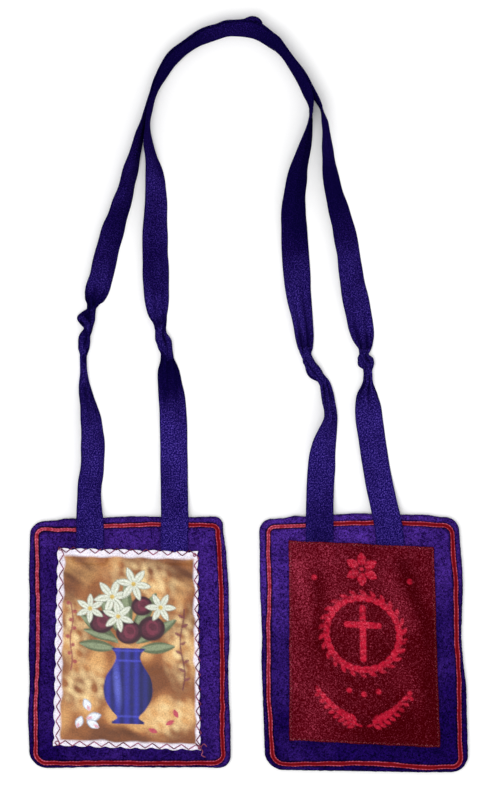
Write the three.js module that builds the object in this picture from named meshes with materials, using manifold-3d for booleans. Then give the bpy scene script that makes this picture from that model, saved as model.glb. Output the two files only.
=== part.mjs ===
// A cloth scapular laid out flat on a table: two felt panels joined by two long ribbons.
//
// Each panel is one thick piece of felt with rounded corners. A flat braid with a groove along its middle is sewn
// round it near the edge. The ribbon ends lie on the panel and over the braid, and an oblong patch covers their ends.
// The outer ribbon goes from the left panel's left side to the right panel's right side, and the inner one lies
// inside it. Each ribbon is knotted once above each panel. Above the knots the ribbons turn up onto their edges, and
// they lean together round the top of the loop.
//
// Millimetres, +Z up from the table, +Y towards the top of the loop. The origin is on the table, at the middle of
// what lies there.

import * as THREE from "three";
import Module from "manifold-3d";
import { mergeVertices } from "three/addons/utils/BufferGeometryUtils.js";

const wasm = await Module();
wasm.setup();

// Sizes that drive the rest
const FELT_THICK = 3;
const SEAM_GAP = 0.3;
const RIBBON_WIDE = 10;
const RIBBON_THICK = 1;
const PATCH_THICK = 1;
const BRAID_WIDE = 1.7;
const BRAID_THICK = 0.9;
const BRAID_BED_DEPTH = 0.5;
const BRAID_BED_MARGIN = 0.15;

// Heights of what lies on the felt
const ON_FELT = FELT_THICK + SEAM_GAP;
const BRAID_BED = FELT_THICK - BRAID_BED_DEPTH;
const BRAID_FOOT = BRAID_BED + SEAM_GAP;
const BRAID_TOP = BRAID_FOOT + BRAID_THICK;
const OVER_BRAID = BRAID_TOP + SEAM_GAP;
const OVER_EDGE = FELT_THICK + 0.6;
const RIBBON_LIFT = RIBBON_THICK + SEAM_GAP;

// Colours of the cloths
const FELT_COLOUR = 0x35196e;
const RIBBON_COLOUR = 0x221058;
const BRAID_COLOUR = 0xb8303f;
const SATIN_COLOUR = 0xc2935c;
const VELOUR_COLOUR = 0x751527;

const part = new THREE.Group();

function cloth(colour, roughness) {
  return new THREE.MeshStandardMaterial({ color: colour, roughness, metalness: 0 });
}

function addPiece(name, geometry, material) {
  const mesh = new THREE.Mesh(geometry, material);
  mesh.name = name;
  part.add(mesh);
}

function geometryOf(points, triangles) {
  const geometry = new THREE.BufferGeometry();
  geometry.setAttribute("position", new THREE.Float32BufferAttribute(points.flat(), 3));
  geometry.setIndex(triangles.flat());
  return geometry;
}

// Joins rings of equal length, one after another, and closes the first and the last with a fan about its middle.
// Each ring runs anticlockwise seen from the side that the last ring lies on.
function loftedRings(rings) {
  const count = rings[0].length;
  const points = rings.flat();
  const triangles = [];
  for (let r = 0; r + 1 < rings.length; r++) {
    for (let i = 0; i < count; i++) {
      const a = r * count + i;
      const b = r * count + ((i + 1) % count);
      triangles.push([a, b, b + count], [a, b + count, a + count]);
    }
  }
  const middleOf = (ring) => [0, 1, 2].map((k) => ring.reduce((sum, p) => sum + p[k], 0) / count);
  const first = points.length;
  points.push(middleOf(rings[0]), middleOf(rings[rings.length - 1]));
  const lastRing = (rings.length - 1) * count;
  for (let i = 0; i < count; i++) {
    const next = (i + 1) % count;
    triangles.push([first, next, i], [first + 1, lastRing + i, lastRing + next]);
  }
  return geometryOf(points, triangles);
}

// Value of one column between rows 1 and 2 of four, on a Catmull-Rom curve.
function between(four, column, t) {
  const [a, b, c, d] = four.map((row) => row[column]);
  const bend = (3 * b - a - 3 * c + d) * t ** 3 + (2 * a - 5 * b + 4 * c - d) * t ** 2;
  return b + 0.5 * (bend + (c - a) * t);
}

// Rows at most `step` apart, with every column following a smooth curve through the rows given.
function smoothRows(rows, step) {
  const at = (i) => rows[Math.min(Math.max(i, 0), rows.length - 1)];
  const out = [];
  for (let i = 0; i + 1 < rows.length; i++) {
    const four = [at(i - 1), at(i), at(i + 1), at(i + 2)];
    const pieces = Math.ceil(Math.hypot(at(i + 1).x - at(i).x, at(i + 1).y - at(i).y) / step);
    for (let k = 0; k < pieces; k++) {
      out.push(Object.fromEntries(Object.keys(rows[0]).map((c) => [c, between(four, c, k / pieces)])));
    }
  }
  out.push({ ...at(rows.length - 1) });
  return out;
}

// Felt panels

// Corners go round anticlockwise from the top left. Each side starts at its corner, and its rows say how far the
// hand-cut edge stands out from a straight line, at which share of the side.
const PICTURE_PANEL = {
  corners: [
    { x: -78.6, y: -45.9, radius: 5 },
    { x: -78.9, y: -134.6, radius: 6.5 },
    { x: -6.2, y: -134.6, radius: 4.5 },
    { x: -9.3, y: -44, radius: 3 },
  ],
  sides: [
    [
      { at: 0.2, out: 0.3 },
      { at: 0.3, out: 0.05 },
      { at: 0.55, out: 0.3 },
      { at: 0.68, out: -0.05 },
      { at: 0.82, out: 0.4 },
    ],
    [{ at: 0.4, out: -0.4 }, { at: 0.6, out: -0.2 }, { at: 0.87, out: -0.25 }],
    [
      { at: 0.17, out: 0.2 },
      { at: 0.38, out: 0.2 },
      { at: 0.5, out: 1 },
      { at: 0.72, out: 1.3 },
      { at: 0.84, out: 1 },
    ],
    [{ at: 0.17, out: 0 }, { at: 0.5, out: 0.9 }, { at: 0.75, out: 0.55 }, { at: 0.85, out: 0.7 }],
  ],
};
const EMBLEM_PANEL = {
  corners: [
    { x: 3.9, y: -45, radius: 4.5 },
    { x: 6.1, y: -135.2, radius: 6.5 },
    { x: 79.4, y: -136.2, radius: 6.5 },
    { x: 75.8, y: -44.2, radius: 5 },
  ],
  sides: [
    [
      { at: 0.3, out: 0.2 },
      { at: 0.4, out: 0 },
      { at: 0.5, out: 0 },
      { at: 0.6, out: 0.35 },
      { at: 0.8, out: 0.15 },
    ],
    [{ at: 0.3, out: 0.1 }, { at: 0.8, out: 0.2 }],
    [{ at: 0.3, out: 0.3 }, { at: 0.5, out: -0.7 }, { at: 0.78, out: 0.55 }],
    [
      { at: 0.18, out: 0.95 },
      { at: 0.33, out: 1.1 },
      { at: 0.5, out: 1.7 },
      { at: 0.78, out: 0.8 },
      { at: 0.86, out: 1 },
    ],
  ],
};

// The middle line of each panel's braid. Its two ends lie under the left ribbon, from seam.left to seam.right.
const PICTURE_BRAID = {
  corners: [
    { x: -76.1, y: -48.6, radius: 2.6 },
    { x: -76.5, y: -132.7, radius: 3.6 },
    { x: -9.05, y: -132.7, radius: 3.4 },
    { x: -10.9, y: -46.95, radius: 2.8 },
  ],
  sides: [
    [{ at: 0.2, out: -0.15 }, { at: 0.32, out: -0.55 }, { at: 0.55, out: -0.55 }, { at: 0.7, out: -0.1 }],
    [{ at: 0.2, out: 0.1 }, { at: 0.45, out: 0 }, { at: 0.62, out: 0.2 }],
    [{ at: 0.25, out: 0.2 }, { at: 0.42, out: 0.55 }, { at: 0.55, out: 0.45 }, { at: 0.75, out: 0.65 }],
    [{ at: 0.15, out: 0.1 }, { at: 0.35, out: 0.65 }, { at: 0.62, out: 0.6 }, { at: 0.84, out: -0.45 }],
  ],
  seam: { left: -61.9, right: -54 },
};
const EMBLEM_BRAID = {
  corners: [
    { x: 7.05, y: -47.7, radius: 2.6 },
    { x: 8.6, y: -132.95, radius: 4.2 },
    { x: 76.55, y: -134.2, radius: 3.4 },
    { x: 73.3, y: -47.1, radius: 3.4 },
  ],
  sides: [
    [{ at: 0.25, out: -0.15 }, { at: 0.5, out: 0.5 }, { at: 0.75, out: 0.8 }, { at: 0.88, out: 0.3 }],
    [
      { at: 0.18, out: -0.1 },
      { at: 0.45, out: -0.7 },
      { at: 0.62, out: -0.45 },
      { at: 0.72, out: 0 },
      { at: 0.85, out: 0.35 },
    ],
    [
      { at: 0.15, out: 0 },
      { at: 0.27, out: 0.35 },
      { at: 0.4, out: 0.5 },
      { at: 0.52, out: 0.2 },
      { at: 0.76, out: 0.55 },
    ],
    [{ at: 0.22, out: 0.95 }, { at: 0.47, out: 1.1 }, { at: 0.6, out: 0.9 }, { at: 0.82, out: 0.35 }],
  ],
  seam: { left: 22, right: 29 },
};

const SIDE_STEPS = 14;
const CORNER_STEPS = 4;

// How far a hand-cut side stands out at one share of its length, easing between its rows and to nothing at its ends.
function standsOut(rows, share) {
  const stops = [{ at: 0, out: 0 }, ...rows, { at: 1, out: 0 }];
  const next = Math.max(1, stops.findIndex((stop) => stop.at >= share));
  const [low, high] = [stops[next - 1], stops[next]];
  const ease = THREE.MathUtils.smoothstep(share, low.at, high.at);
  return low.out + (high.out - low.out) * ease;
}

// A four-sided outline with round corners, moved inwards by `inset`. Every inset gives the same number of points.
function outline(shape, inset) {
  const points = [];
  shape.corners.forEach((corner, i) => {
    const before = shape.corners[(i + 3) % 4];
    const after = shape.corners[(i + 1) % 4];
    const inward = new THREE.Vector2(before.x - corner.x, before.y - corner.y).normalize();
    const onward = new THREE.Vector2(after.x - corner.x, after.y - corner.y).normalize();
    const radius = Math.max(corner.radius - inset, 0.5);
    const shift = inset + radius;
    const middle = new THREE.Vector2(corner.x, corner.y).addScaledVector(inward, shift).addScaledVector(onward, shift);
    for (let k = 0; k <= CORNER_STEPS; k++) {
      const turn = (k / CORNER_STEPS) * (Math.PI / 2);
      const point = middle.clone();
      point.addScaledVector(onward, -radius * Math.cos(turn)).addScaledVector(inward, -radius * Math.sin(turn));
      points.push([point.x, point.y]);
    }
    const outward = new THREE.Vector2(onward.y, -onward.x);
    const length = Math.hypot(after.x - corner.x, after.y - corner.y);
    const start = shift;
    const end = length - inset - Math.max(after.radius - inset, 0.5);
    for (let k = 1; k < SIDE_STEPS; k++) {
      const along = start + ((end - start) * k) / SIDE_STEPS;
      const out = standsOut(shape.sides[i], along / length) - inset;
      points.push([corner.x + onward.x * along + outward.x * out, corner.y + onward.y * along + outward.y * out]);
    }
  });
  return points;
}

// Rounded felt edge from the underside up, as insets and heights.
const FELT_EDGE = [
  { inset: 0.7, z: 0 },
  { inset: 0.15, z: 0.6 },
  { inset: 0, z: 1.5 },
  { inset: 0.1, z: 2.5 },
  { inset: 0.3, z: FELT_THICK },
];

function feltPanel(panel, braid) {
  const bedHalf = BRAID_WIDE / 2 + BRAID_BED_MARGIN;
  const bedFloorHalf = BRAID_WIDE / 2;
  const ring = (shape, inset, z) => outline(shape, inset).map(([x, y]) => [x, y, z]);
  return loftedRings([
    ...FELT_EDGE.map((row) => ring(panel, row.inset, row.z)),
    ring(braid, -bedHalf, FELT_THICK),
    ring(braid, -bedFloorHalf, BRAID_BED),
    ring(braid, bedFloorHalf, BRAID_BED),
    ring(braid, bedHalf, FELT_THICK),
  ]);
}

// The braid: two cords side by side with a groove between them, seen across.
const BRAID_SECTION = [
  { inset: -0.5, height: 0 },
  { inset: 0.5, height: 0 },
  { inset: 0.5, height: 0.55 },
  { inset: 0.27, height: 1 },
  { inset: 0, height: 0.6 },
  { inset: -0.27, height: 1 },
  { inset: -0.5, height: 0.55 },
];

// Where an outline's top side crosses one x.
function topCrossing(points, x) {
  const top = [...points.slice(-SIDE_STEPS), points[0]];
  const next = top.findIndex((point) => point[0] < x);
  const share = (x - top[next - 1][0]) / (top[next][0] - top[next - 1][0]);
  return [x, THREE.MathUtils.lerp(top[next - 1][1], top[next][1], share)];
}

// An outline cut open at its seam, from the seam's left end round to its right end.
function opened(points, seam) {
  const side = points.length - SIDE_STEPS + 1;
  const top = points.slice(side);
  const afterSeam = top.filter((point) => point[0] < seam.left);
  const beforeSeam = top.filter((point) => point[0] > seam.right);
  const round = [...afterSeam, ...points.slice(0, side), ...beforeSeam];
  return [topCrossing(points, seam.left), ...round, topCrossing(points, seam.right)];
}

function braidStrip(braid) {
  const lanes = BRAID_SECTION.map((row) => {
    const z = BRAID_FOOT + row.height * BRAID_THICK;
    return opened(outline(braid, row.inset * BRAID_WIDE), braid.seam).map(([x, y]) => [x, y, z]);
  });
  return loftedRings(lanes[0].map((_, i) => lanes.map((lane) => lane[i])));
}

addPiece("picture_panel_felt", feltPanel(PICTURE_PANEL, PICTURE_BRAID), cloth(FELT_COLOUR, 0.95));
addPiece("emblem_panel_felt", feltPanel(EMBLEM_PANEL, EMBLEM_BRAID), cloth(FELT_COLOUR, 0.95));
addPiece("picture_panel_braid", braidStrip(PICTURE_BRAID), cloth(BRAID_COLOUR, 0.7));
addPiece("emblem_panel_braid", braidStrip(EMBLEM_BRAID), cloth(BRAID_COLOUR, 0.7));

// Ribbons

// Rows follow each ribbon from the picture panel to the emblem panel. wide and thick are the band's own, tilt is in
// degrees from lying flat, with the loop's outer edge raised, and foot is how high its lowest edge stands. Where the
// ribbon is gathered into a knot it is narrow and thick.
const flat = { wide: RIBBON_WIDE, thick: RIBBON_THICK, tilt: 0, foot: 0 };
const turned = { ...flat, tilt: 180 };

const OUTER_TAIL_PICTURE = [
  { ...flat, x: -56.8, y: -60, wide: 9.6, foot: ON_FELT },
  { ...flat, x: -56.8, y: -52.2, wide: 9.6, foot: ON_FELT },
  { ...flat, x: -56.9, y: -49.3, wide: 9.6, foot: OVER_BRAID },
  { ...flat, x: -57, y: -45.4, wide: 9.6, foot: OVER_EDGE },
  { ...flat, x: -57, y: -40, wide: 9.6, foot: 2.2 },
  { ...flat, x: -56.9, y: -33, wide: 9.6, tilt: 8, foot: 0.5 },
  { ...flat, x: -56.3, y: -26.7, wide: 9.8, tilt: 20 },
  { ...flat, x: -55.9, y: -18.1, tilt: 28 },
  { ...flat, x: -56.6, y: -9.5, wide: 9.8, tilt: 38 },
  { ...flat, x: -57.7, y: -3, wide: 7.8, thick: 1.3, tilt: 50 },
  { ...flat, x: -59.1, y: 3.5, wide: 4.8, thick: 1.7, tilt: 48 },
  { ...flat, x: -59.3, y: 8, wide: 2.7, thick: 2, tilt: 20 },
  { ...flat, x: -59.4, y: 12.6, wide: 2.3, thick: 2 },
];
const INNER_TAIL_PICTURE = [
  { ...flat, x: -26.6, y: -60, foot: ON_FELT },
  { ...flat, x: -26.6, y: -51.4, foot: ON_FELT },
  { ...flat, x: -26.5, y: -48.1, foot: OVER_BRAID },
  { ...flat, x: -26.4, y: -44.2, foot: OVER_EDGE },
  { ...flat, x: -26.4, y: -39, foot: 2.2 },
  { ...flat, x: -26.4, y: -32, foot: 0.5 },
  { ...flat, x: -26.5, y: -25 },
  { ...flat, x: -26.7, y: -16.7, tilt: 3 },
  { ...flat, x: -26.9, y: -7.3, tilt: 7 },
  { ...flat, x: -27.5, y: -0.8, wide: 9.7, tilt: 14 },
  { ...flat, x: -28, y: 3.5, wide: 8.6, thick: 1.3, tilt: 8 },
  { ...flat, x: -28.5, y: 7.8, wide: 7.3, thick: 1.6, tilt: 3 },
  { ...flat, x: -29, y: 11.2, wide: 4.9, thick: 2.1 },
];
const OUTER_RIBBON = [
  { ...flat, x: -56.1, y: 31.5, wide: 3.6, thick: 2.3 },
  { ...flat, x: -55.5, y: 33.7, wide: 6.3, thick: 1.9, tilt: 4 },
  { ...flat, x: -54.8, y: 35.9, wide: 8.2, thick: 1.4, tilt: 9 },
  { ...flat, x: -53.4, y: 40.2, wide: 9.4, tilt: 22 },
  { ...flat, x: -51.9, y: 46.7, tilt: 34 },
  { ...flat, x: -49.8, y: 55.3, tilt: 42 },
  { ...flat, x: -47.1, y: 64, tilt: 51 },
  { ...flat, x: -44.2, y: 72.6, tilt: 56 },
  { ...flat, x: -42.2, y: 81.3, tilt: 63 },
  { ...flat, x: -40.6, y: 87.8, tilt: 70 },
  { ...flat, x: -39.1, y: 92.1, tilt: 76 },
  { ...flat, x: -37.9, y: 96.4, tilt: 82 },
  { ...flat, x: -36.4, y: 102.9, tilt: 87 },
  { ...flat, x: -35.2, y: 107.4, tilt: 84 },
  { ...flat, x: -33.4, y: 111.8, tilt: 81 },
  { ...flat, x: -31.1, y: 116.2, tilt: 76 },
  { ...flat, x: -28.1, y: 120.7, tilt: 73 },
  { ...flat, x: -23.3, y: 124.9, tilt: 72 },
  { ...flat, x: -16.8, y: 129, tilt: 69 },
  { ...flat, x: -10.2, y: 131.5, tilt: 68 },
  { ...flat, x: -4.3, y: 132.5, tilt: 66 },
  { ...flat, x: 1.2, y: 132.9, tilt: 52 },
  { ...flat, x: 5.5, y: 130.6, tilt: 70 },
  { ...flat, x: 10, y: 127.3, tilt: 73 },
  { ...flat, x: 14.4, y: 122.2, tilt: 79 },
  { ...flat, x: 17.6, y: 117.1, tilt: 75 },
  { ...flat, x: 21, y: 111.9, tilt: 77 },
  { ...flat, x: 24.2, y: 107.2, tilt: 87 },
  { ...flat, x: 26.1, y: 103.3, tilt: 92 },
  { ...flat, x: 27.6, y: 97.4, tilt: 101 },
  { ...flat, x: 28.4, y: 89.9, tilt: 108 },
  { ...flat, x: 28.9, y: 83.4, tilt: 115 },
  { ...flat, x: 30, y: 77, tilt: 125 },
  { ...flat, x: 32, y: 68.3, tilt: 133 },
  { ...flat, x: 34.3, y: 59.7, tilt: 143 },
  { ...flat, x: 36.1, y: 51, tilt: 146 },
  { ...flat, x: 37, y: 42.4, tilt: 149 },
  { ...flat, x: 38.4, y: 35.9, tilt: 155 },
  { ...flat, x: 39.5, y: 29.4, wide: 9.8, tilt: 160 },
  { ...flat, x: 41, y: 22.9, wide: 9, thick: 1.2, tilt: 168 },
  { ...turned, x: 41.8, y: 18.6, wide: 6.6, thick: 1.8 },
  { ...turned, x: 41.7, y: 14.6, wide: 3.5, thick: 2.4 },
];
const INNER_RIBBON = [
  { ...flat, x: -31.5, y: 23, wide: 3.5, thick: 2.3 },
  { ...flat, x: -31.6, y: 25.2, wide: 4.3, thick: 2.2 },
  { ...flat, x: -32.1, y: 27.6, wide: 6, thick: 1.8, tilt: 2 },
  { ...flat, x: -32.7, y: 31.6, wide: 8.3, thick: 1.3, tilt: 7 },
  { ...flat, x: -33, y: 35.9, wide: 9.6, tilt: 14 },
  { ...flat, x: -33.4, y: 44.6, tilt: 21 },
  { ...flat, x: -33.6, y: 55.3, tilt: 25 },
  { ...flat, x: -33.2, y: 66.2, tilt: 37 },
  { ...flat, x: -33.2, y: 72.6, tilt: 46 },
  { ...flat, x: -33.8, y: 79.1, tilt: 54 },
  { ...flat, x: -34.5, y: 83.4, tilt: 64 },
  { ...flat, x: -35.4, y: 87.8, tilt: 72 },
  { ...flat, x: -35.9, y: 92.1, tilt: 80 },
  { ...flat, x: -35.9, y: 97.6, tilt: 86 },
  { ...flat, x: -34.9, y: 102.9, tilt: 87 },
  { ...flat, x: -33.7, y: 107, tilt: 84 },
  { ...flat, x: -32, y: 111.1, tilt: 81 },
  { ...flat, x: -29.8, y: 115.3, tilt: 77 },
  { ...flat, x: -26.9, y: 119.6, tilt: 74 },
  { ...flat, x: -22.4, y: 123.6, tilt: 74 },
  { ...flat, x: -16.1, y: 127.6, tilt: 71 },
  { ...flat, x: -9.8, y: 130, tilt: 69 },
  { ...flat, x: -4, y: 131, tilt: 69 },
  { ...flat, x: 0.6, y: 130.4, tilt: 70 },
  { ...flat, x: 4.6, y: 129, tilt: 72 },
  { ...flat, x: 8.9, y: 126.1, tilt: 75 },
  { ...flat, x: 13.1, y: 121.3, tilt: 80 },
  { ...flat, x: 16.3, y: 116.2, tilt: 77 },
  { ...flat, x: 19.5, y: 111.1, tilt: 78 },
  { ...flat, x: 21.6, y: 107, tilt: 82 },
  { ...flat, x: 22.6, y: 102.6, tilt: 89 },
  { ...flat, x: 22.2, y: 96.8, tilt: 99 },
  { ...flat, x: 21.2, y: 92.1, tilt: 108 },
  { ...flat, x: 19.3, y: 85.6, tilt: 119 },
  { ...flat, x: 17.7, y: 79.1, tilt: 128 },
  { ...flat, x: 16.8, y: 72.6, tilt: 138 },
  { ...flat, x: 16.3, y: 66.2, tilt: 147 },
  { ...flat, x: 16.5, y: 59.7, tilt: 159 },
  { ...flat, x: 17, y: 51, tilt: 168 },
  { ...flat, x: 17.6, y: 42.4, tilt: 170 },
  { ...flat, x: 18.3, y: 35.9, wide: 9.3, thick: 1.1, tilt: 168 },
  { ...flat, x: 19.2, y: 29.4, wide: 8.2, thick: 1.3, tilt: 173 },
  { ...turned, x: 19.9, y: 22.9, wide: 7.2, thick: 1.6 },
  { ...turned, x: 20.6, y: 17.4, wide: 5.4, thick: 2 },
  { ...turned, x: 21, y: 14.5, wide: 3.8, thick: 2.4 },
];
const INNER_TAIL_EMBLEM = [
  { ...turned, x: 28.1, y: 1.7, wide: 3.8, thick: 2.2 },
  { ...flat, x: 28.7, y: -1.5, wide: 5.2, thick: 1.8, tilt: 158 },
  { ...flat, x: 29.4, y: -5.1, wide: 7, thick: 1.4, tilt: 130 },
  { ...flat, x: 29.5, y: -9.5, wide: 8.6, thick: 1.1, tilt: 124 },
  { ...flat, x: 28.5, y: -13.8, wide: 9.8, tilt: 132 },
  { ...flat, x: 27.5, y: -18.1, tilt: 145 },
  { ...flat, x: 26.6, y: -23.4, tilt: 166 },
  { ...flat, x: 26.1, y: -31.5, wide: 10.2, tilt: 177, foot: 0.5 },
  { ...turned, x: 25.8, y: -38, wide: 10.2, foot: 2.2 },
  { ...turned, x: 25.7, y: -43.2, wide: 10.2, foot: OVER_EDGE },
  { ...turned, x: 25.7, y: -47.4, wide: 10.2, foot: OVER_BRAID },
  { ...turned, x: 25.7, y: -50.8, wide: 10.2, foot: ON_FELT },
  { ...turned, x: 25.7, y: -59, wide: 10.2, foot: ON_FELT },
];
const OUTER_TAIL_EMBLEM = [
  { ...turned, x: 43.1, y: 7.9, wide: 2.9, thick: 2.2 },
  { ...turned, x: 43.1, y: 4.4, wide: 3.9, thick: 2 },
  { ...turned, x: 42.9, y: 1.4, wide: 6.6, thick: 1.6 },
  { ...turned, x: 42.9, y: -3, wide: 9.3, thick: 1.1 },
  { ...flat, x: 43.3, y: -7.3, tilt: 176 },
  { ...flat, x: 44.2, y: -13.8, tilt: 174 },
  { ...flat, x: 45.4, y: -22.4, tilt: 176 },
  { ...turned, x: 47, y: -31.4, foot: 0.5 },
  { ...turned, x: 48.5, y: -38, foot: 2.2 },
  { ...turned, x: 49.6, y: -42.9, foot: OVER_EDGE },
  { ...turned, x: 50.4, y: -47.1, foot: OVER_BRAID },
  { ...turned, x: 50.9, y: -50.6, foot: ON_FELT },
  { ...turned, x: 51.6, y: -59.5, foot: ON_FELT },
];

const RIBBON_STEP = 4;
const GATHER_RELIEF = 0.35;
const ACROSS = [-1, -0.5, 0, 0.5, 1];

// The band's outline across itself at one row: flat below, and above it rounds off towards its edges and shows two
// soft folds where it is gathered.
function bandSection(row) {
  const gathered = THREE.MathUtils.clamp((row.thick - RIBBON_THICK) / RIBBON_THICK, 0, 1);
  const upper = ACROSS.map((q) => {
    const rounded = 1 - 0.5 * gathered * q * q;
    const fold = GATHER_RELIEF * gathered * Math.abs(q === 0 ? -1 : Math.sin(Math.PI * q));
    return [q, rounded - 0.5 + (q === 0 ? -GATHER_RELIEF * gathered : fold) / row.thick];
  });
  const lower = ACROSS.map((q) => [q * (1 - 0.15 * gathered), -0.5]);
  return [...lower, ...upper.reverse()];
}

// One ribbon stretch: the band's section stands across the route, tilted about the route's own line.
function ribbonBand(rows) {
  const stations = smoothRows(rows, RIBBON_STEP);
  const sections = stations.map((row, i) => {
    const from = stations[Math.max(i - 1, 0)];
    const to = stations[Math.min(i + 1, stations.length - 1)];
    const along = new THREE.Vector2(to.x - from.x, to.y - from.y).normalize();
    const tilt = THREE.MathUtils.degToRad(row.tilt);
    const [rise, run] = [Math.sin(tilt), Math.cos(tilt)];
    const outward = [-along.y, along.x];
    const foot = Math.max(row.foot, 0);
    const height = foot + (row.wide / 2) * Math.abs(rise) + (row.thick / 2) * Math.abs(run);
    const faceUp = run >= 0 ? 1 : -1;
    return bandSection(row).map(([q, h]) => {
      const across = (q * faceUp * row.wide) / 2;
      const up = h * faceUp * row.thick;
      const side = across * run - up * rise;
      return [row.x + outward[0] * side, row.y + outward[1] * side, height + across * rise + up * run];
    });
  });
  return loftedRings(sections);
}

const RIBBONS = {
  outer_ribbon: OUTER_RIBBON,
  inner_ribbon: INNER_RIBBON,
  outer_ribbon_tail_picture: OUTER_TAIL_PICTURE,
  inner_ribbon_tail_picture: INNER_TAIL_PICTURE,
  inner_ribbon_tail_emblem: INNER_TAIL_EMBLEM,
  outer_ribbon_tail_emblem: OUTER_TAIL_EMBLEM,
};
for (const [name, rows] of Object.entries(RIBBONS)) {
  addPiece(name, ribbonBand(rows), cloth(RIBBON_COLOUR, 0.75));
}

// Knots

// Each is an overhand knot, pulled close. The core runs through it from the ribbon above to the tail below, and the
// loop goes round the core. x and y are from the knot's own middle, z is the strand's middle height.
const KNOTS = {
  outer_knot_picture: {
    x: -58.2,
    y: 22.2,
    above: endOf(OUTER_RIBBON, 0, 1),
    below: endOf(OUTER_TAIL_PICTURE, -1, -2),
    core: [
      { x: 1.7, y: 6.6, z: 2, wide: 4, tall: 2.8 },
      { x: 0.9, y: 2.5, z: 2.8, wide: 4, tall: 3 },
      { x: -0.2, y: -0.9, z: 2.1, wide: 4.2, tall: 2.8 },
      { x: -0.9, y: -4, z: 1.5, wide: 4.3, tall: 2.4 },
      { x: -1.2, y: -7.2, z: 1.2, wide: 3, tall: 2 },
    ],
    loop: [
      { x: 1.4, y: 6.4, z: 1.6, wide: 2.4, tall: 2.4 },
      { x: -0.4, y: 6.7, z: 2.2, wide: 2.6, tall: 3.4 },
      { x: -1.8, y: 5.7, z: 2.4, wide: 2.6, tall: 3.8 },
      { x: -2, y: 3.9, z: 2.3, wide: 2.6, tall: 3.6 },
      { x: -0.8, y: 2, z: 1.8, wide: 2.6, tall: 3 },
      { x: 0.8, y: 0.4, z: 1.5, wide: 2.4, tall: 2.4 },
    ],
  },
  inner_knot_picture: {
    x: -30,
    y: 17.2,
    above: endOf(INNER_RIBBON, 0, 1),
    below: endOf(INNER_TAIL_PICTURE, -1, -2),
    core: [
      { x: -1.2, y: 3.2, z: 1.8, wide: 4, tall: 2.8 },
      { x: -0.2, y: 0.2, z: 2, wide: 4.2, tall: 3.2 },
      { x: 0.6, y: -2.8, z: 1.8, wide: 4.6, tall: 2.8 },
    ],
    loop: [
      { x: -1.6, y: 1.4, z: 1.6, wide: 2.8, tall: 2.6 },
      { x: -0.8, y: 2.4, z: 3.2, wide: 3, tall: 2 },
      { x: 0.9, y: 1.4, z: 4, wide: 3.2, tall: 1.8 },
      { x: 2.2, y: -0.4, z: 3.1, wide: 3.2, tall: 2.2 },
      { x: 2.5, y: -2.2, z: 1.7, wide: 2.6, tall: 2.6 },
    ],
  },
  inner_knot_emblem: {
    x: 24.4,
    y: 8.2,
    above: endOf(INNER_RIBBON, -1, -2),
    below: endOf(INNER_TAIL_EMBLEM, 0, 1),
    core: [
      { x: -1.8, y: 3.6, z: 1.9, wide: 3.9, tall: 2.8 },
      { x: 0.4, y: 0.8, z: 2.4, wide: 4, tall: 3 },
      { x: 2.4, y: -2.4, z: 2, wide: 3.8, tall: 2.8 },
      { x: 3.4, y: -4.4, z: 1.3, wide: 3.6, tall: 2.4 },
    ],
    loop: [
      { x: -2.8, y: 3.4, z: 1.5, wide: 2.6, tall: 2.6 },
      { x: -2.7, y: 1, z: 2.4, wide: 3, tall: 3 },
      { x: -1.6, y: -1, z: 2.9, wide: 3.2, tall: 2.8 },
      { x: 0.4, y: -1.8, z: 2.6, wide: 3, tall: 3 },
      { x: 2, y: -1.8, z: 1.8, wide: 2.6, tall: 2.6 },
    ],
  },
  outer_knot_emblem: {
    x: 42.3,
    y: 11.4,
    above: endOf(OUTER_RIBBON, -1, -2),
    below: endOf(OUTER_TAIL_EMBLEM, 0, 1),
    core: [
      { x: -0.7, y: 1.4, z: 2, wide: 3.6, tall: 3 },
      { x: -0.2, y: -0.4, z: 2.2, wide: 3.8, tall: 3.2 },
      { x: 0.6, y: -2, z: 1.6, wide: 3.2, tall: 2.6 },
    ],
    loop: [
      { x: -1.6, y: -0.6, z: 1.6, wide: 2.4, tall: 2.8 },
      { x: -1.3, y: 0.7, z: 3.3, wide: 2.8, tall: 2.4 },
      { x: 0.2, y: 1.3, z: 4.2, wide: 3, tall: 1.8 },
      { x: 1.7, y: 0.8, z: 3.3, wide: 2.8, tall: 2.4 },
      { x: 2, y: -0.8, z: 1.7, wide: 2.4, tall: 2.8 },
    ],
  },
};

const STRAND_STEP = 2;
const STRAND_SIDES = 10;

// A ribbon's last row before a knot, and the direction from it into the ribbon.
function endOf(rows, last, beforeLast) {
  const stations = smoothRows(rows, RIBBON_STEP);
  const row = stations.at(last);
  const inner = stations.at(beforeLast);
  const into = new THREE.Vector2(inner.x - row.x, inner.y - row.y).normalize();
  return { row, into };
}

// A strand with an oval section that stays square to its route, also where the route climbs.
function strand(rows) {
  const stations = smoothRows(rows, STRAND_STEP);
  const place = (row) => new THREE.Vector3(row.x, row.y, row.z);
  const sections = stations.map((row, i) => {
    const from = place(stations[Math.max(i - 1, 0)]);
    const along = place(stations[Math.min(i + 1, stations.length - 1)]).sub(from).normalize();
    const side = new THREE.Vector3(0, 0, 1).cross(along).normalize();
    const up = along.clone().cross(side);
    return Array.from({ length: STRAND_SIDES }, (_, k) => {
      const turn = (k / STRAND_SIDES) * 2 * Math.PI + Math.PI / STRAND_SIDES;
      const point = place(row).addScaledVector(side, -(Math.sin(turn) * row.wide) / 2);
      return point.addScaledVector(up, (Math.cos(turn) * row.tall) / 2).toArray();
    });
  });
  return loftedRings(sections);
}

function solidOf(geometry) {
  const merged = mergeVertices(geometry, 1e-4);
  const vertProperties = merged.getAttribute("position").array;
  return new wasm.Manifold(new wasm.Mesh({ numProp: 3, vertProperties, triVerts: new Uint32Array(merged.index.array) }));
}

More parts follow.
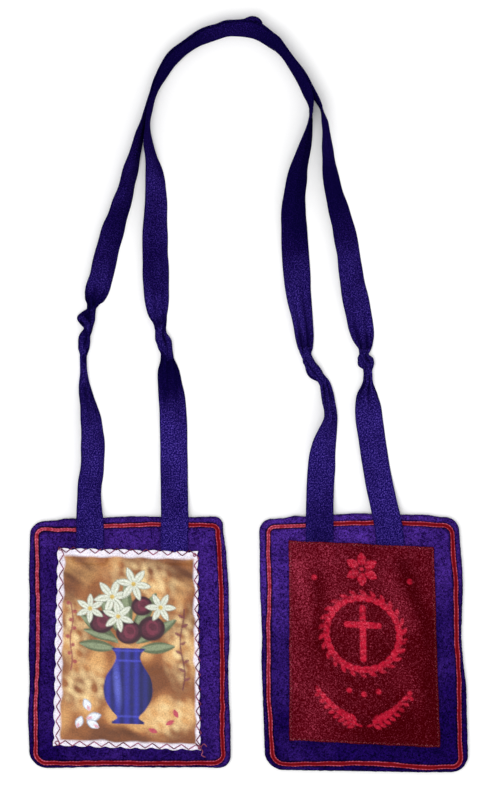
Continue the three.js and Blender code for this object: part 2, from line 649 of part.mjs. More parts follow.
function geometryOfSolid(solid) {
  const { vertProperties, triVerts } = solid.getMesh();
  const geometry = new THREE.BufferGeometry();
  geometry.setAttribute("position", new THREE.BufferAttribute(vertProperties, 3));
  geometry.setIndex(new THREE.BufferAttribute(triVerts, 1));
  return geometry;
}

// The knot ends a seam's gap short of the ribbon.
function trimmedAt(solid, { row, into }) {
  return solid.trimByPlane([-into.x, -into.y, 0], SEAM_GAP - into.x * row.x - into.y * row.y);
}

function tiedKnot({ x, y, above, below, core, loop }) {
  const moved = (rows) => rows.map((row) => ({ ...row, x: x + row.x, y: y + row.y }));
  const joined = ({ row }) => ({ x: row.x, y: row.y, z: row.foot + row.thick / 2, wide: row.wide, tall: row.thick });
  const through = solidOf(strand([joined(above), ...moved(core), joined(below)]));
  const tied = through.add(solidOf(strand(moved(loop))));
  return geometryOfSolid(trimmedAt(trimmedAt(tied, above), below));
}

for (const [name, knot] of Object.entries(KNOTS)) {
  addPiece(name, tiedKnot(knot), cloth(RIBBON_COLOUR, 0.75));
}

// Patches

// Each lies on its felt and rises over the two ribbon ends under its top edge.
const RISE_CLEAR = 0.5;
const RISE_RAMP = 2;
const PATCHES = {
  picture_patch: {
    corners: {
      topLeft: [-68.7, -55.2],
      topRight: [-18.2, -56.6],
      lowRight: [-17.2, -128.3],
      lowLeft: [-70.3, -126.6],
    },
    ends: [
      { x: -56.8, y: -60, wide: 9.6 },
      { x: -26.6, y: -60, wide: RIBBON_WIDE },
    ],
    colour: SATIN_COLOUR,
    roughness: 0.4,
  },
  emblem_patch: {
    corners: {
      topLeft: [14.6, -52.6],
      topRight: [66.8, -55],
      lowRight: [69.1, -127.2],
      lowLeft: [14.9, -124.6],
    },
    ends: [
      { x: 25.7, y: -59, wide: 10.2 },
      { x: 51.4, y: -59.5, wide: 10.6 },
    ],
    colour: VELOUR_COLOUR,
    roughness: 0.9,
  },
};

const lerp = THREE.MathUtils.lerp;

function patchPoint({ topLeft, topRight, lowRight, lowLeft }, u, v) {
  return [0, 1].map((k) => lerp(lerp(topLeft[k], topRight[k], u), lerp(lowLeft[k], lowRight[k], u), v));
}

// Where the ribbon ends lie below the patch, as shares of its width and of its height down from the top edge.
function hiddenEnds({ corners, ends }) {
  const wide = corners.topRight[0] - corners.topLeft[0];
  const tall = corners.topLeft[1] - corners.lowLeft[1];
  return ends.map((end) => {
    const middle = (end.x - corners.topLeft[0]) / wide;
    const half = (end.wide / 2 + RISE_CLEAR) / wide;
    const down = (lerp(corners.topLeft[1], corners.topRight[1], middle) - end.y + RISE_CLEAR) / tall;
    return { left: middle - half, right: middle + half, down, rampAcross: RISE_RAMP / wide, rampDown: RISE_RAMP / tall };
  });
}

// How far the ribbon ends lift the patch at one place.
function lifted(hidden, u, v) {
  const shares = hidden.map((end) => {
    const beside = Math.max(end.left - u, u - end.right, 0) / end.rampAcross;
    const below = Math.max(v - end.down, 0) / end.rampDown;
    return Math.max(1 - Math.max(beside, below), 0);
  });
  return RIBBON_LIFT * Math.max(...shares);
}

// Grid lines fall where each lift starts and ends, with a few more between.
function patchSheet(patch) {
  const hidden = hiddenEnds(patch);
  const rises = hidden.flatMap((end) => [
    end.left - end.rampAcross,
    end.left,
    end.right,
    end.right + end.rampAcross,
  ]);
  const us = [0, ...rises, 1];
  const covered = Math.max(...hidden.map((end) => end.down));
  const flattened = hidden.map((end) => ({ ...end, down: covered }));
  const vs = [0, covered, covered + hidden[0].rampDown, 0.35, 0.6, 0.8, 1];
  const column = (u, v, over) => {
    const [x, y] = patchPoint(patch.corners, u, v);
    return [x, y, ON_FELT + lifted(flattened, u, v) + over];
  };
  const lower = vs.flatMap((v) => us.map((u) => column(u, v, 0)));
  const upper = vs.flatMap((v) => us.map((u) => column(u, v, PATCH_THICK)));
  const across = us.length;
  const faces = [];
  for (let r = 0; r + 1 < vs.length; r++) {
    for (let c = 0; c + 1 < across; c++) {
      const a = r * across + c;
      faces.push([a, a + across, a + across + 1, a + 1]);
    }
  }
  const top = lower.length;
  const rim = [];
  for (let c = 0; c + 1 < across; c++) rim.push(c);
  for (let r = 0; r + 1 < vs.length; r++) rim.push(r * across + across - 1);
  for (let c = across - 1; c > 0; c--) rim.push((vs.length - 1) * across + c);
  for (let r = vs.length - 1; r > 0; r--) rim.push(r * across);
  const triangles = faces.flatMap(([a, b, c, d]) => [
    [a + top, b + top, c + top],
    [a + top, c + top, d + top],
    [a, c, b],
    [a, d, c],
  ]);
  rim.forEach((a, i) => {
    const b = rim[(i + 1) % rim.length];
    triangles.push([a, a + top, b + top], [a, b + top, b]);
  });
  return geometryOf([...lower, ...upper], triangles);
}

for (const [name, patch] of Object.entries(PATCHES)) {
  addPiece(name, patchSheet(patch), cloth(patch.colour, patch.roughness));
}

export default part;
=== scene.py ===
import bpy
import numpy as np
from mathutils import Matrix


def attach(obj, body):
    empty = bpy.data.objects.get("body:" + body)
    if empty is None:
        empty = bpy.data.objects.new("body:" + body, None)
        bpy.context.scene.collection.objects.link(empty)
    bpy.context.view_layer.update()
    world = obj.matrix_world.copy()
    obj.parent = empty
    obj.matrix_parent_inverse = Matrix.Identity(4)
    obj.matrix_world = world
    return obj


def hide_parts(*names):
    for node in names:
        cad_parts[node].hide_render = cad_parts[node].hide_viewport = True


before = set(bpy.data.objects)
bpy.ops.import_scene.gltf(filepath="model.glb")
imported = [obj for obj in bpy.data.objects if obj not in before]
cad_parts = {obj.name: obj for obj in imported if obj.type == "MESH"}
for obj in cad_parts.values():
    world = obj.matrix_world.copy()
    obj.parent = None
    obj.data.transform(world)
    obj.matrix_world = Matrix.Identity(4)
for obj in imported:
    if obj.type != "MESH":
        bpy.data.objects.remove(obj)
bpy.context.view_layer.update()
MM = 0.001

# Felt panels
#
# Each panel is one piece of thick pressed wool felt, cut by hand with scissors, so its sides waver and its
# corners are round. The braid's stitches pull a shallow bed into it near the edge.

FELT_THICK = 3.0
BED_DEPTH = 0.5
SIDE_POINTS = 170
CORNER_POINTS = 14
LEAST_RADIUS = 0.5

# How far the felt crowns up between its cut edge and the braid, and how wide a gap lets it. Then the
# crown's shade, and how much paler a millimetre of gap makes it.
CROWN_TALL, CROWN_GAP = 0.2, 1.5
CROWN_SHADE, CROWN_PALER = 0.35, 0.25

# Unevenness, as how far it goes and how long its waves are: of the scissors' cut, of the fibres at the cut,
# of the upper face as a whole and of its nap. The cut's share of it goes by height.
CUT_WAVES = (0.05, 2.6)
FIBRE_WAVES = (0.025, 0.9)
FACE_WAVES = (0.05, 9)
NAP_WAVES = (0.035, 1.4)
CUT_SHARES = [0, 1.0, 2.0, 2.9], [0, 1, 1, 0.3]
UPPER_FROM = 2.0

# Corners go round anticlockwise from the top left, as x, y and radius. A side is a list of shares of its
# length, each with how far the cut stands out there.
PICTURE_PANEL = {
    "corners": [(-78.6, -45.9, 5.0), (-78.9, -134.6, 6.5), (-6.2, -134.6, 4.5), (-9.3, -44.0, 3.0)],
    "sides": [
        [(0.18, 0.3), (0.28, 0.05), (0.55, 0.32), (0.69, -0.05), (0.84, 0.45)],
        [(0.4, -0.4), (0.6, -0.2), (0.9, -0.25)],
        [(0.14, 0.25), (0.25, 0.05), (0.38, 0.2), (0.5, 1.0), (0.73, 1.3), (0.85, 1.0)],
        [(0.15, 0.0), (0.5, 0.9), (0.76, 0.55), (0.86, 0.75), (0.94, 0.2)],
    ],
}
EMBLEM_PANEL = {
    "corners": [(3.9, -45.0, 4.5), (6.1, -135.2, 6.5), (79.4, -136.2, 6.5), (75.8, -44.2, 5.0)],
    "sides": [
        [(0.27, 0.25), (0.39, 0.0), (0.5, 0.0), (0.6, 0.38), (0.8, 0.15)],
        [(0.3, 0.1), (0.8, 0.2)],
        [(0.15, 0.12), (0.27, 0.3), (0.5, -0.73), (0.8, 0.57)],
        [(0.14, 0.95), (0.3, 1.1), (0.5, 1.7), (0.8, 0.75), (0.87, 1.1), (0.93, 0.25)],
    ],
}
PICTURE_BRAID = {
    "corners": [(-76.1, -48.6, 2.6), (-76.5, -132.7, 3.6), (-9.05, -132.7, 3.4), (-10.9, -46.95, 2.8)],
    "sides": [
        [(0.2, -0.15), (0.3, -0.55), (0.55, -0.58), (0.7, -0.1), (0.8, 0.2)],
        [(0.2, 0.1), (0.45, 0.0), (0.62, 0.2)],
        [(0.1, 0.0), (0.25, 0.18), (0.42, 0.55), (0.55, 0.42), (0.75, 0.68)],
        [(0.14, 0.1), (0.35, 0.68), (0.62, 0.6), (0.84, -0.5), (0.9, -0.4)],
    ],
}
EMBLEM_BRAID = {
    "corners": [(7.05, -47.7, 2.6), (8.6, -132.95, 4.2), (76.55, -134.2, 3.4), (73.3, -47.1, 3.4)],
    "sides": [
        [(0.24, -0.15), (0.5, 0.5), (0.75, 0.85), (0.88, 0.3)],
        [(0.15, -0.1), (0.45, -0.72), (0.63, -0.45), (0.72, 0.0), (0.87, 0.4)],
        [(0.13, -0.05), (0.27, 0.38), (0.4, 0.5), (0.52, 0.2), (0.76, 0.57)],
        [(0.22, 0.95), (0.47, 1.15), (0.6, 0.93), (0.83, 0.35)],
    ],
}


def stands_out(rows, share):
    """How far a cut stands out from a straight side, with a smooth step from one (share, out) to the next."""
    at, out = np.array([(0, 0), *rows, (1, 0)], float).T
    i = np.clip(np.searchsorted(at, share, side="right") - 1, 0, len(at) - 2)
    t = (share - at[i]) / (at[i + 1] - at[i])
    return out[i] + (out[i + 1] - out[i]) * t * t * (3 - 2 * t)


def round_outline(shape, inset):
    """Outline of a four-sided piece, moved inwards by inset. A corner is a quarter circle about a point a
    radius in from both its sides, and a side is a straight line plus what its cut stands out."""
    corners = np.array(shape["corners"], float)
    parts = []
    for i, (x, y, radius) in enumerate(corners):
        before, after = corners[i - 1], corners[(i + 1) % 4]
        inward = (before[:2] - (x, y)) / np.hypot(*(before[:2] - (x, y)))
        onward = (after[:2] - (x, y)) / np.hypot(*(after[:2] - (x, y)))
        bend = max(radius - inset, LEAST_RADIUS)
        middle = np.array((x, y)) + (inward + onward) * (inset + bend)
        turn = np.linspace(0, np.pi / 2, CORNER_POINTS)[:, None]
        parts.append(middle - bend * (onward * np.cos(turn) + inward * np.sin(turn)))
        long = np.hypot(*(after[:2] - (x, y)))
        share = np.linspace(0, 1, SIDE_POINTS + 2)[1:-1]
        along = inset + bend + share * (long - 2 * inset - bend - max(after[2] - inset, LEAST_RADIUS))
        outward = np.array((onward[1], -onward[0]))
        out = stands_out(shape["sides"][i], share) - inset
        parts.append((x, y) + along[:, None] * onward + out[:, None] * outward)
    return np.vstack(parts)


def ripple(x, y, size, seed):
    """Smooth unevenness of about -1 to 1: sine waves of about a given length, each in its own direction."""
    waves = 9
    rng = np.random.default_rng(seed)
    turn = rng.uniform(0, 2 * np.pi, waves)
    start = rng.uniform(0, 2 * np.pi, waves)
    stretch = rng.uniform(0.7, 1.6, waves)
    x, y = np.asarray(x)[..., None], np.asarray(y)[..., None]
    phase = 2 * np.pi * (x * np.cos(turn) + y * np.sin(turn)) / (size * stretch) + start
    return np.sin(phase).sum(axis=-1) / np.sqrt(waves)


def grid_faces(rows, across, closed):
    """Two triangles between neighbours in a grid of points. Closed joins the last column to the first."""
    columns = across if closed else across - 1
    row, column = np.meshgrid(np.arange(rows - 1), np.arange(columns), indexing="ij")
    a = (row * across + column).ravel()
    b = (row * across + (column + 1) % across).ravel()
    return np.vstack([np.stack([a, b, b + across], 1), np.stack([a, b + across, a + across], 1)])


def make_mesh(name, points, faces, uv=None):
    """A smooth piece from points in millimetres and triangles, with its faces turned outwards."""
    a, b, c = (points[faces[:, k]] for k in range(3))
    if (a * np.cross(b, c)).sum() < 0:
        faces = faces[:, ::-1]
    mesh = bpy.data.meshes.new(name)
    mesh.vertices.add(len(points))
    mesh.vertices.foreach_set("co", (points * MM).astype(np.float32).ravel())
    mesh.loops.add(faces.size)
    mesh.loops.foreach_set("vertex_index", faces.astype(np.int32).ravel())
    mesh.polygons.add(len(faces))
    mesh.polygons.foreach_set("loop_start", np.arange(0, faces.size, 3, dtype=np.int32))
    mesh.polygons.foreach_set("use_smooth", np.ones(len(faces), bool))
    mesh.update(calc_edges=True)
    if uv is not None:
        layer = mesh.uv_layers.new(name="cloth")
        layer.data.foreach_set("uv", (uv[faces.ravel()] * MM).astype(np.float32).ravel())
    piece = bpy.data.objects.new(name, mesh)
    bpy.context.scene.collection.objects.link(piece)
    return piece


def loft(name, rings, uv=None):
    """A closed piece through rings of points (rings x points x 3), with a fan in the first and the last."""
    count, around = rings.shape[:2]
    points = np.vstack([rings.reshape(-1, 3), rings[0].mean(axis=0), rings[-1].mean(axis=0)])
    first, last = count * around, count * around + 1
    i = np.arange(around)
    j = (i + 1) % around
    end = (count - 1) * around
    faces = np.vstack([
        grid_faces(count, around, True),
        np.stack([np.full(around, first), j, i], 1),
        np.stack([np.full(around, last), end + i, end + j], 1),
    ])
    if uv is not None:
        uv = np.vstack([uv.reshape(-1, 2), uv[0].mean(axis=0), uv[-1].mean(axis=0)])
    return make_mesh(name, points, faces, uv)


def store(piece, name, *values):
    """Stores one number for each point of a piece, under the name that its material reads them by."""
    stored = piece.data.attributes.new(name, "FLOAT", "POINT")
    stored.data.foreach_set("value", np.concatenate([np.ravel(part) for part in values]).astype(np.float32))


# The cut edge from the underside up, as (inset, height, shade), then the bed of the braid and the field
# inside it, as (distance inwards from the braid's line, height, shade). Shade is painted shade: how much
# darker the felt is painted at its rounded cut edge, in the braid's bed and a little further in.
FELT_EDGE = [
    (1.2, 0.0, 1.0), (0.6, 0.06, 1.0), (0.2, 0.4, 1.0), (0.0, 0.95, 1.0), (-0.05, 1.5, 0.95),
    (0.0, 2.05, 0.85), (0.12, 2.4, 0.7), (0.28, 2.65, 0.5), (0.45, 2.8, 0.25),
]
BRAID_BED = [
    (-1.05, 2.84, 0.45), (-0.92, 2.72, 0.95), (-0.8, 2.5, 1.0), (0.8, 2.5, 1.0), (0.92, 2.72, 0.95),
    (1.08, 2.86, 0.5), (1.4, 2.95, 0.12), (1.9, 3.0, 0.0), (2.6, 3.02, 0.0),
]
FELT_FIELD = [
    (3.6, 3.03, 0), (4.6, 3.0, 0), (5.6, 3.0, 0), (6.6, 2.98, 0), (7.6, 2.95, 0.2), (9.0, 2.9, 0.3),
]


def felt_panel(name, panel, braid, seed):
    """Rings up the cut edge, across the braid's bed and on to the middle, with the soft unevenness of
    pressed wool. Between edge and bed the felt crowns up by as much as the gap between them allows."""
    rings, shades = [], []
    for shape, table in ((panel, FELT_EDGE), (braid, BRAID_BED + FELT_FIELD)):
        for inset, z, shade in table:
            line = round_outline(shape, inset)
            rings.append(np.column_stack([line, np.full(len(line), z)]))
            shades.append(np.full(len(line), float(shade)))
    edge, bed = rings[len(FELT_EDGE) - 1], rings[len(FELT_EDGE)]
    gap = np.hypot(*(bed - edge)[:, :2].T)
    crown = CROWN_TALL * np.clip(gap / CROWN_GAP, 0, 1)
    for place, t in enumerate((0.25, 0.5, 0.75)):
        ridge = np.sin(np.pi * t)
        middle = edge * (1 - t) + bed * t
        middle[:, 2] += crown * ridge
        rings.insert(len(FELT_EDGE) + place, middle)
        shades.insert(len(FELT_EDGE) + place, np.clip(CROWN_SHADE - gap * CROWN_PALER * ridge, 0, 1))
    rings, shades = np.array(rings), np.array(shades)
    x, y, z = rings[..., 0].copy(), rings[..., 1].copy(), rings[..., 2].copy()
    cut = np.interp(z, *CUT_SHARES)
    upper = np.clip(z - UPPER_FROM, 0, 1)
    for axis, share, (coarse, coarse_long), (fine, fine_long) in (
        (0, cut, CUT_WAVES, FIBRE_WAVES),
        (1, cut, CUT_WAVES, FIBRE_WAVES),
        (2, upper, FACE_WAVES, NAP_WAVES),
    ):
        uneven = coarse * ripple(x, y, coarse_long, seed + 2 * axis)
        uneven += fine * ripple(x, y, fine_long, seed + 2 * axis + 1)
        rings[..., axis] += share * uneven
    panel_piece = loft(name, rings)
    store(panel_piece, "pressed", shades, [1.0, 0.0])
    return panel_piece


def linear(hex_colour):
    """Linear red, green and blue of an sRGB colour such as 4A2A9A."""
    value = np.array([int(hex_colour[i:i + 2], 16) for i in (0, 2, 4)]) / 255
    return np.where(value <= 0.04045, value / 12.92, ((value + 0.055) / 1.055) ** 2.4)


def rgba(hex_colour):
    """The same, with full opacity, as a shader's colour socket takes it."""
    return (*linear(hex_colour), 1.0)


def add_node(tree, kind, settings, links):
    """One shader node. A setting is a property of it or the value of an input, and a link feeds an input."""
    made = tree.nodes.new("ShaderNode" + kind)
    for key, value in settings.items():
        if isinstance(key, str) and hasattr(made, key):
            setattr(made, key, value)
        else:
            made.inputs[key].default_value = value
    for key, output in links.items():
        tree.links.new(output, made.inputs[key])
    return made


def new_material(name, **settings):
    """A material with one Principled shader, whose uniform values are given by their sockets' names."""
    material = bpy.data.materials.new(name)
    material.use_nodes = True
    shader = material.node_tree.nodes["Principled BSDF"]
    for socket, value in settings.items():
        shader.inputs[socket.replace("_", " ")].default_value = value
    return material, material.node_tree, shader


# Pressed wool felt, dyed violet. Matted fibres lie in all directions, so the surface is mottled with short
# wormlike strokes and softer patches, and it never shines. Painted light makes it paler towards the top and
# the middle, and painted shade deeper towards the bottom and the outer sides. Painted shade also makes it
# deepest at the cut edge and in the braid's bed, where light is lost between fibres.
PAINTED_LIGHT_AT = 25.0
felt, tree, shader = new_material("pressed wool felt", Roughness=1.0, Specular_IOR_Level=0.0)
place = add_node(tree, "TexCoord", {}, {})
fibres = add_node(
    tree, "TexNoise", {"Scale": 1 / (0.54 * MM), "Detail": 3.0, "Roughness": 0.8, "Distortion": 0.9},
    {"Vector": place.outputs["Object"]},
)
tufts = add_node(
    tree, "TexNoise", {"Scale": 1 / (2.2 * MM), "Detail": 2.0, "Distortion": 1.0},
    {"Vector": place.outputs["Object"]},
)
clouds = add_node(
    tree, "TexNoise", {"Scale": 1 / (18 * MM), "Detail": 2.0}, {"Vector": place.outputs["Object"]}
)
soft = add_node(tree, "Math", {"operation": "MULTIPLY", 1: 0.22}, {0: tufts.outputs[0]})
matted = add_node(tree, "Math", {"operation": "ADD"}, {0: fibres.outputs[0], 1: soft.outputs[0]})
mottle = add_node(tree, "MapRange", {"From Min": 0.52, "From Max": 0.74}, {"Value": matted.outputs[0]})
# Painted light and shade: paler at the top and the middle, darker at the bottom and the outer sides.
parts = add_node(tree, "SeparateXYZ", {}, {0: place.outputs["Object"]})
downward = add_node(
    tree, "MapRange", {"From Min": -45 * MM, "From Max": -130 * MM}, {"Value": parts.outputs["Y"]}
)
steeper = add_node(
    tree, "MapRange", {"From Min": -10 * MM, "From Max": 10 * MM, "To Min": 0.4, "To Max": 1.0},
    {"Value": parts.outputs["X"]},
)
lower = add_node(tree, "Math", {"operation": "MULTIPLY"}, {0: downward.outputs[0], 1: steeper.outputs[0]})
from_middle = add_node(tree, "Math", {"operation": "SUBTRACT", 1: PAINTED_LIGHT_AT * MM}, {0: parts.outputs["X"]})
aside = add_node(tree, "Math", {"operation": "ABSOLUTE"}, {0: from_middle.outputs[0]})
outward = add_node(
    tree, "MapRange", {"From Min": 14 * MM, "From Max": 76 * MM, "To Min": 1.0, "To Max": 0.5},
    {"Value": aside.outputs[0]},
)
tone_and_light = add_node(tree, "Math", {"operation": "SUBTRACT"}, {0: outward.outputs[0], 1: lower.outputs[0]})
patchy = add_node(
    tree, "MapRange", {"From Min": 0.3, "From Max": 0.7, "To Min": -0.22, "To Max": 0.22},
    {"Value": clouds.outputs[0]},
)
painted_light_and_tone = add_node(
    tree, "Math", {"operation": "ADD", "use_clamp": True}, {0: tone_and_light.outputs[0], 1: patchy.outputs[0]}
)
deep = add_node(
    tree, "Mix", {"data_type": "RGBA", 6: rgba("04011E"), 7: rgba("16053E")}, {0: painted_light_and_tone.outputs[0]}
)
light = add_node(
    tree, "Mix", {"data_type": "RGBA", 6: rgba("220C60"), 7: rgba("5C36AA")}, {0: painted_light_and_tone.outputs[0]}
)
dyed = add_node(
    tree, "Mix", {"data_type": "RGBA"}, {0: mottle.outputs[0], 6: deep.outputs[2], 7: light.outputs[2]}
)
# Painted shade at the cut edge and in the braid's bed, from the shade stored at each point.
pressed = add_node(tree, "Attribute", {"attribute_name": "pressed"}, {})
sunken = add_node(tree, "Math", {"operation": "MULTIPLY", 1: 0.72}, {0: pressed.outputs["Fac"]})
shaded = add_node(
    tree, "Mix", {"data_type": "RGBA", 7: rgba("04011A")}, {0: sunken.outputs[0], 6: dyed.outputs[2]}
)
nap = add_node(tree, "Bump", {"Strength": 0.8, "Distance": 0.3 * MM}, {"Height": matted.outputs[0]})
tree.links.new(shaded.outputs[2], shader.inputs["Base Color"])
tree.links.new(nap.outputs[0], shader.inputs["Normal"])

picture_felt = felt_panel("picture_felt", PICTURE_PANEL, PICTURE_BRAID, 11)
emblem_felt = felt_panel("emblem_felt", EMBLEM_PANEL, EMBLEM_BRAID, 31)
for piece, node, size, cut in (
    (picture_felt, "picture_panel_felt", (0.073, 0.0905), 0.0065),
    (emblem_felt, "emblem_panel_felt", (0.0745, 0.093), 0.0067),
):
    piece.data.materials.append(felt)
    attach(piece, "root")
    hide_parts(node)

# Braid round each panel
#
# A narrow flat braid of glossy red rayon: two filled cords side by side, plaited over with slanting yarn,
# so a groove runs along its middle. Machine stitches in the groove hold it down. Its two ends meet under
# the left ribbon.

BRAID_WIDE = 1.7
BRAID_TALL = 0.95
BRAID_GAP = 0.05
BRAID_FOOT = FELT_THICK - BED_DEPTH + BRAID_GAP
BRAID_STEP = 0.2
BRAID_POINTS = 17
BRAID_SUNK = 0.04
TOP_SIDE_TALL = 3.0
FRAY_SHARE, FRAY_REACH = 0.25, 0.5

# Yarns along the braid: how far apart, how much higher and wider they make it, and how many of them it takes
# to slant from its middle to its edge.
YARN_PITCH = 1.15
YARN_RISE, YARN_OUT = 0.06, 0.04
YARN_SLANT = 0.75

# Stitches: how far apart, how far they draw the braid down and in, and how far that reaches along it, as a
# share of a stitch, and across it, as a share of its half width.
STITCH_LONG = 3.3
STITCH_SINK, STITCH_IN = 0.16, 0.07
HOLE_ALONG, HOLE_ACROSS = 0.13, 0.45

# Unevenness of the braid's height, of its width and of its line, each with the length of its waves.
TALL_WAVES = (0.05, 5)
WIDE_WAVES = (0.07, 11)
LINE_WAVES = (0.1, 7)

# Shares of the braid's height: what its edges have, and what its cords add. A power below 1 makes a cord
# fuller, and one above 1 moves the cords outwards.
EDGE_SHARE, CORD_SHARE = 0.4, 0.55
CORD_FULL, CORDS_OUT = 0.8, 1.4

# From the middle of the braid, how far the groove's deep red, partly painted shade, reaches, and where the
# foot's painted shade begins, each with what it gains where the cords are apart and over how much it fades
# in. Last, how red the groove is where they lie close.
GROOVE_REACH, GROOVE_GAIN, GROOVE_SOFT = 0.28, 0.34, 0.12
DARK_FROM, DARK_GAIN, DARK_SOFT = 0.47, 0.23, 0.18
CLOSE_RED = 0.6

# Distances along a braid, and how far apart its cords lie there, from 0 to 1. They lie close down the left
# side of a panel and are pulled apart along its low and right sides. A seam is where along x a braid starts
# and ends.
PICTURE_APART = (70, 110, 240, 280), (0.0, 1.0, 1.0, 0.3)
EMBLEM_APART = (60, 100, 250, 290), (0.15, 1.0, 1.0, 0.8)
PICTURE_SEAM = (-61.9, -54.0)
EMBLEM_SEAM = (22.0, 29.0)


def evenly(points, step):
    """Points the given step apart along a line of points, and how far along each is."""
    along = np.concatenate([[0], np.cumsum(np.hypot(*np.diff(points[:, :2], axis=0).T))])
    at = np.linspace(0, along[-1], int(along[-1] / step) + 1)
    return np.column_stack([np.interp(at, along, column) for column in points.T]), at


def seam_point(line, top_y, seam_x):
    """Number of the first point left of seam_x on the top side of a line, which is in its second half."""
    x, y = line.T
    second_half = np.arange(len(x)) > len(x) // 2
    return int(np.argmax((x < seam_x) & (y > top_y - TOP_SIDE_TALL) & second_half))


def braid_strip(name, shape, seam, cords_apart, seed):
    """A profile carried along the braid's line. Its height is one cosine hump where the cords lie close, or
    two sine humps where they are apart. Slanting yarn is a finer sine along the line that runs the other
    way on the other cord. At every stitch the braid is drawn down and in, by a bell curve of the distance
    from the needle hole."""
    line = round_outline(shape, 0)
    top_y = shape["corners"][0][1]
    start = seam_point(line, top_y, seam[0])
    line = np.vstack([line[start:], line[:start]])
    stop = seam_point(line, top_y, seam[1])
    line, along = evenly(line[:stop], BRAID_STEP)
    forward = np.gradient(line, axis=0)
    forward /= np.hypot(*forward.T)[:, None]
    side = np.column_stack([forward[:, 1], -forward[:, 0]])
    s, q = np.meshgrid(along, np.linspace(-1, 1, BRAID_POINTS), indexing="ij")
    hole = np.exp(-((np.mod(s, STITCH_LONG) / STITCH_LONG - 0.5) / HOLE_ALONG) ** 2)
    apart = np.interp(s, *cords_apart)
    ridge = np.clip(np.cos(np.pi / 2 * q), 0, 1) ** CORD_FULL
    hump = ridge + (np.sin(np.pi * np.abs(q) ** CORDS_OUT) ** CORD_FULL - ridge) * apart
    yarn = np.sin(2 * np.pi * (s / YARN_PITCH - YARN_SLANT * np.abs(q)))
    height = BRAID_TALL * (EDGE_SHARE + CORD_SHARE * hump) + YARN_RISE * yarn * hump
    height -= STITCH_SINK * hole * apart * np.exp(-((q / HOLE_ACROSS) ** 2))
    height += TALL_WAVES[0] * ripple(line[:, :1] + 0 * q, line[:, 1:] + 0 * q, TALL_WAVES[1], seed)
    fray = 1 + FRAY_SHARE * np.exp(-np.minimum(s, along[-1] - s) / FRAY_REACH)
    wider = WIDE_WAVES[0] * ripple(s, 0 * s, WIDE_WAVES[1], seed + 1)
    half = BRAID_WIDE / 2 * fray * (1 + YARN_OUT * yarn - STITCH_IN * hole + wider)
    drift = LINE_WAVES[0] * ripple(s, 0 * s, LINE_WAVES[1], seed + 2)
    x = line[:, :1] + side[:, :1] * (half * q + drift)
    y = line[:, 1:] + side[:, 1:] * (half * q + drift)
    top = np.dstack([x, y, BRAID_FOOT + height])
    foot = top[:, [-1, 0]].copy()
    foot[..., 2] = BRAID_FOOT - BRAID_SUNK
    uv = np.dstack([q, s])
    braid = loft(name, np.concatenate([top, foot], axis=1), np.concatenate([uv, uv[:, [-1, 0]]], axis=1))
    # The groove's deep red, partly painted shade, and the painted shade of the foot, stored for the material.
    beside = np.abs(q) * BRAID_WIDE / 2
    groove = np.clip((GROOVE_REACH + GROOVE_GAIN * apart - beside) / GROOVE_SOFT, 0, 1)
    between = np.clip(CLOSE_RED + apart, 0, 1) * groove
    edge = np.clip((beside - DARK_FROM - DARK_GAIN * apart) / DARK_SOFT, 0, 1)
    for shade_name, shade in (("between", between), ("edge", edge)):
        store(braid, shade_name, np.concatenate([shade, shade[:, [-1, 0]]], axis=1), [1, 1])
    return braid


# Plaited rayon: soft gloss, with a painted highlight along the tops of the slanting yarns. Between the
# cords, where they are pulled apart, it is a deep clear red, partly painted shade, and painted shade makes
# its foot nearly black.
rayon, tree, shader = new_material("plaited rayon", Roughness=0.6, Specular_IOR_Level=0.1)
cloth = add_node(tree, "UVMap", {"uv_map": "cloth"}, {})
parts = add_node(tree, "SeparateXYZ", {}, {0: cloth.outputs[0]})
beside = add_node(tree, "Math", {"operation": "ABSOLUTE"}, {0: parts.outputs["X"]})
slant = add_node(
    tree, "Math", {"operation": "MULTIPLY", 1: -YARN_SLANT * YARN_PITCH}, {0: beside.outputs[0]}
)
leaning = add_node(tree, "Math", {"operation": "ADD"}, {0: parts.outputs["Y"], 1: slant.outputs[0]})
turns = add_node(
    tree, "Math", {"operation": "MULTIPLY", 1: 2 * np.pi / (YARN_PITCH * MM)}, {0: leaning.outputs[0]}
)
yarns = add_node(tree, "Math", {"operation": "SINE"}, {0: turns.outputs[0]})
lit = add_node(
    tree, "MapRange", {"From Min": -1.0, "From Max": 1.0, "To Min": 0.25, "To Max": 1.0},
    {"Value": yarns.outputs[0]},
)
uneven = add_node(tree, "TexNoise", {"Scale": 1 / (1.8 * MM), "Detail": 3.0}, {"Vector": cloth.outputs[0]})
patchy_sheen = add_node(
    tree, "MapRange", {"From Min": 0.32, "From Max": 0.68, "To Min": 0.0, "To Max": 1.3},
    {"Value": uneven.outputs[0]},
)
sheen = add_node(
    tree, "Math", {"operation": "MULTIPLY", "use_clamp": True}, {0: lit.outputs[0], 1: patchy_sheen.outputs[0]}
)
tops = add_node(
    tree, "Mix", {"data_type": "RGBA", 6: rgba("8C0E28"), 7: rgba("E06888")}, {0: sheen.outputs[0]}
)
# The groove's deep red, partly painted shade.
between = add_node(tree, "Attribute", {"attribute_name": "between"}, {})
red = add_node(
    tree, "Mix", {"data_type": "RGBA", 7: rgba("78000C")}, {0: between.outputs["Fac"], 6: tops.outputs[2]}
)
# Painted shade, nearly black, at the braid's foot.
edge = add_node(tree, "Attribute", {"attribute_name": "edge"}, {})
edged = add_node(
    tree, "Mix", {"data_type": "RGBA", 7: rgba("1C0212")}, {0: edge.outputs["Fac"], 6: red.outputs[2]}
)
tree.links.new(edged.outputs[2], shader.inputs["Base Color"])

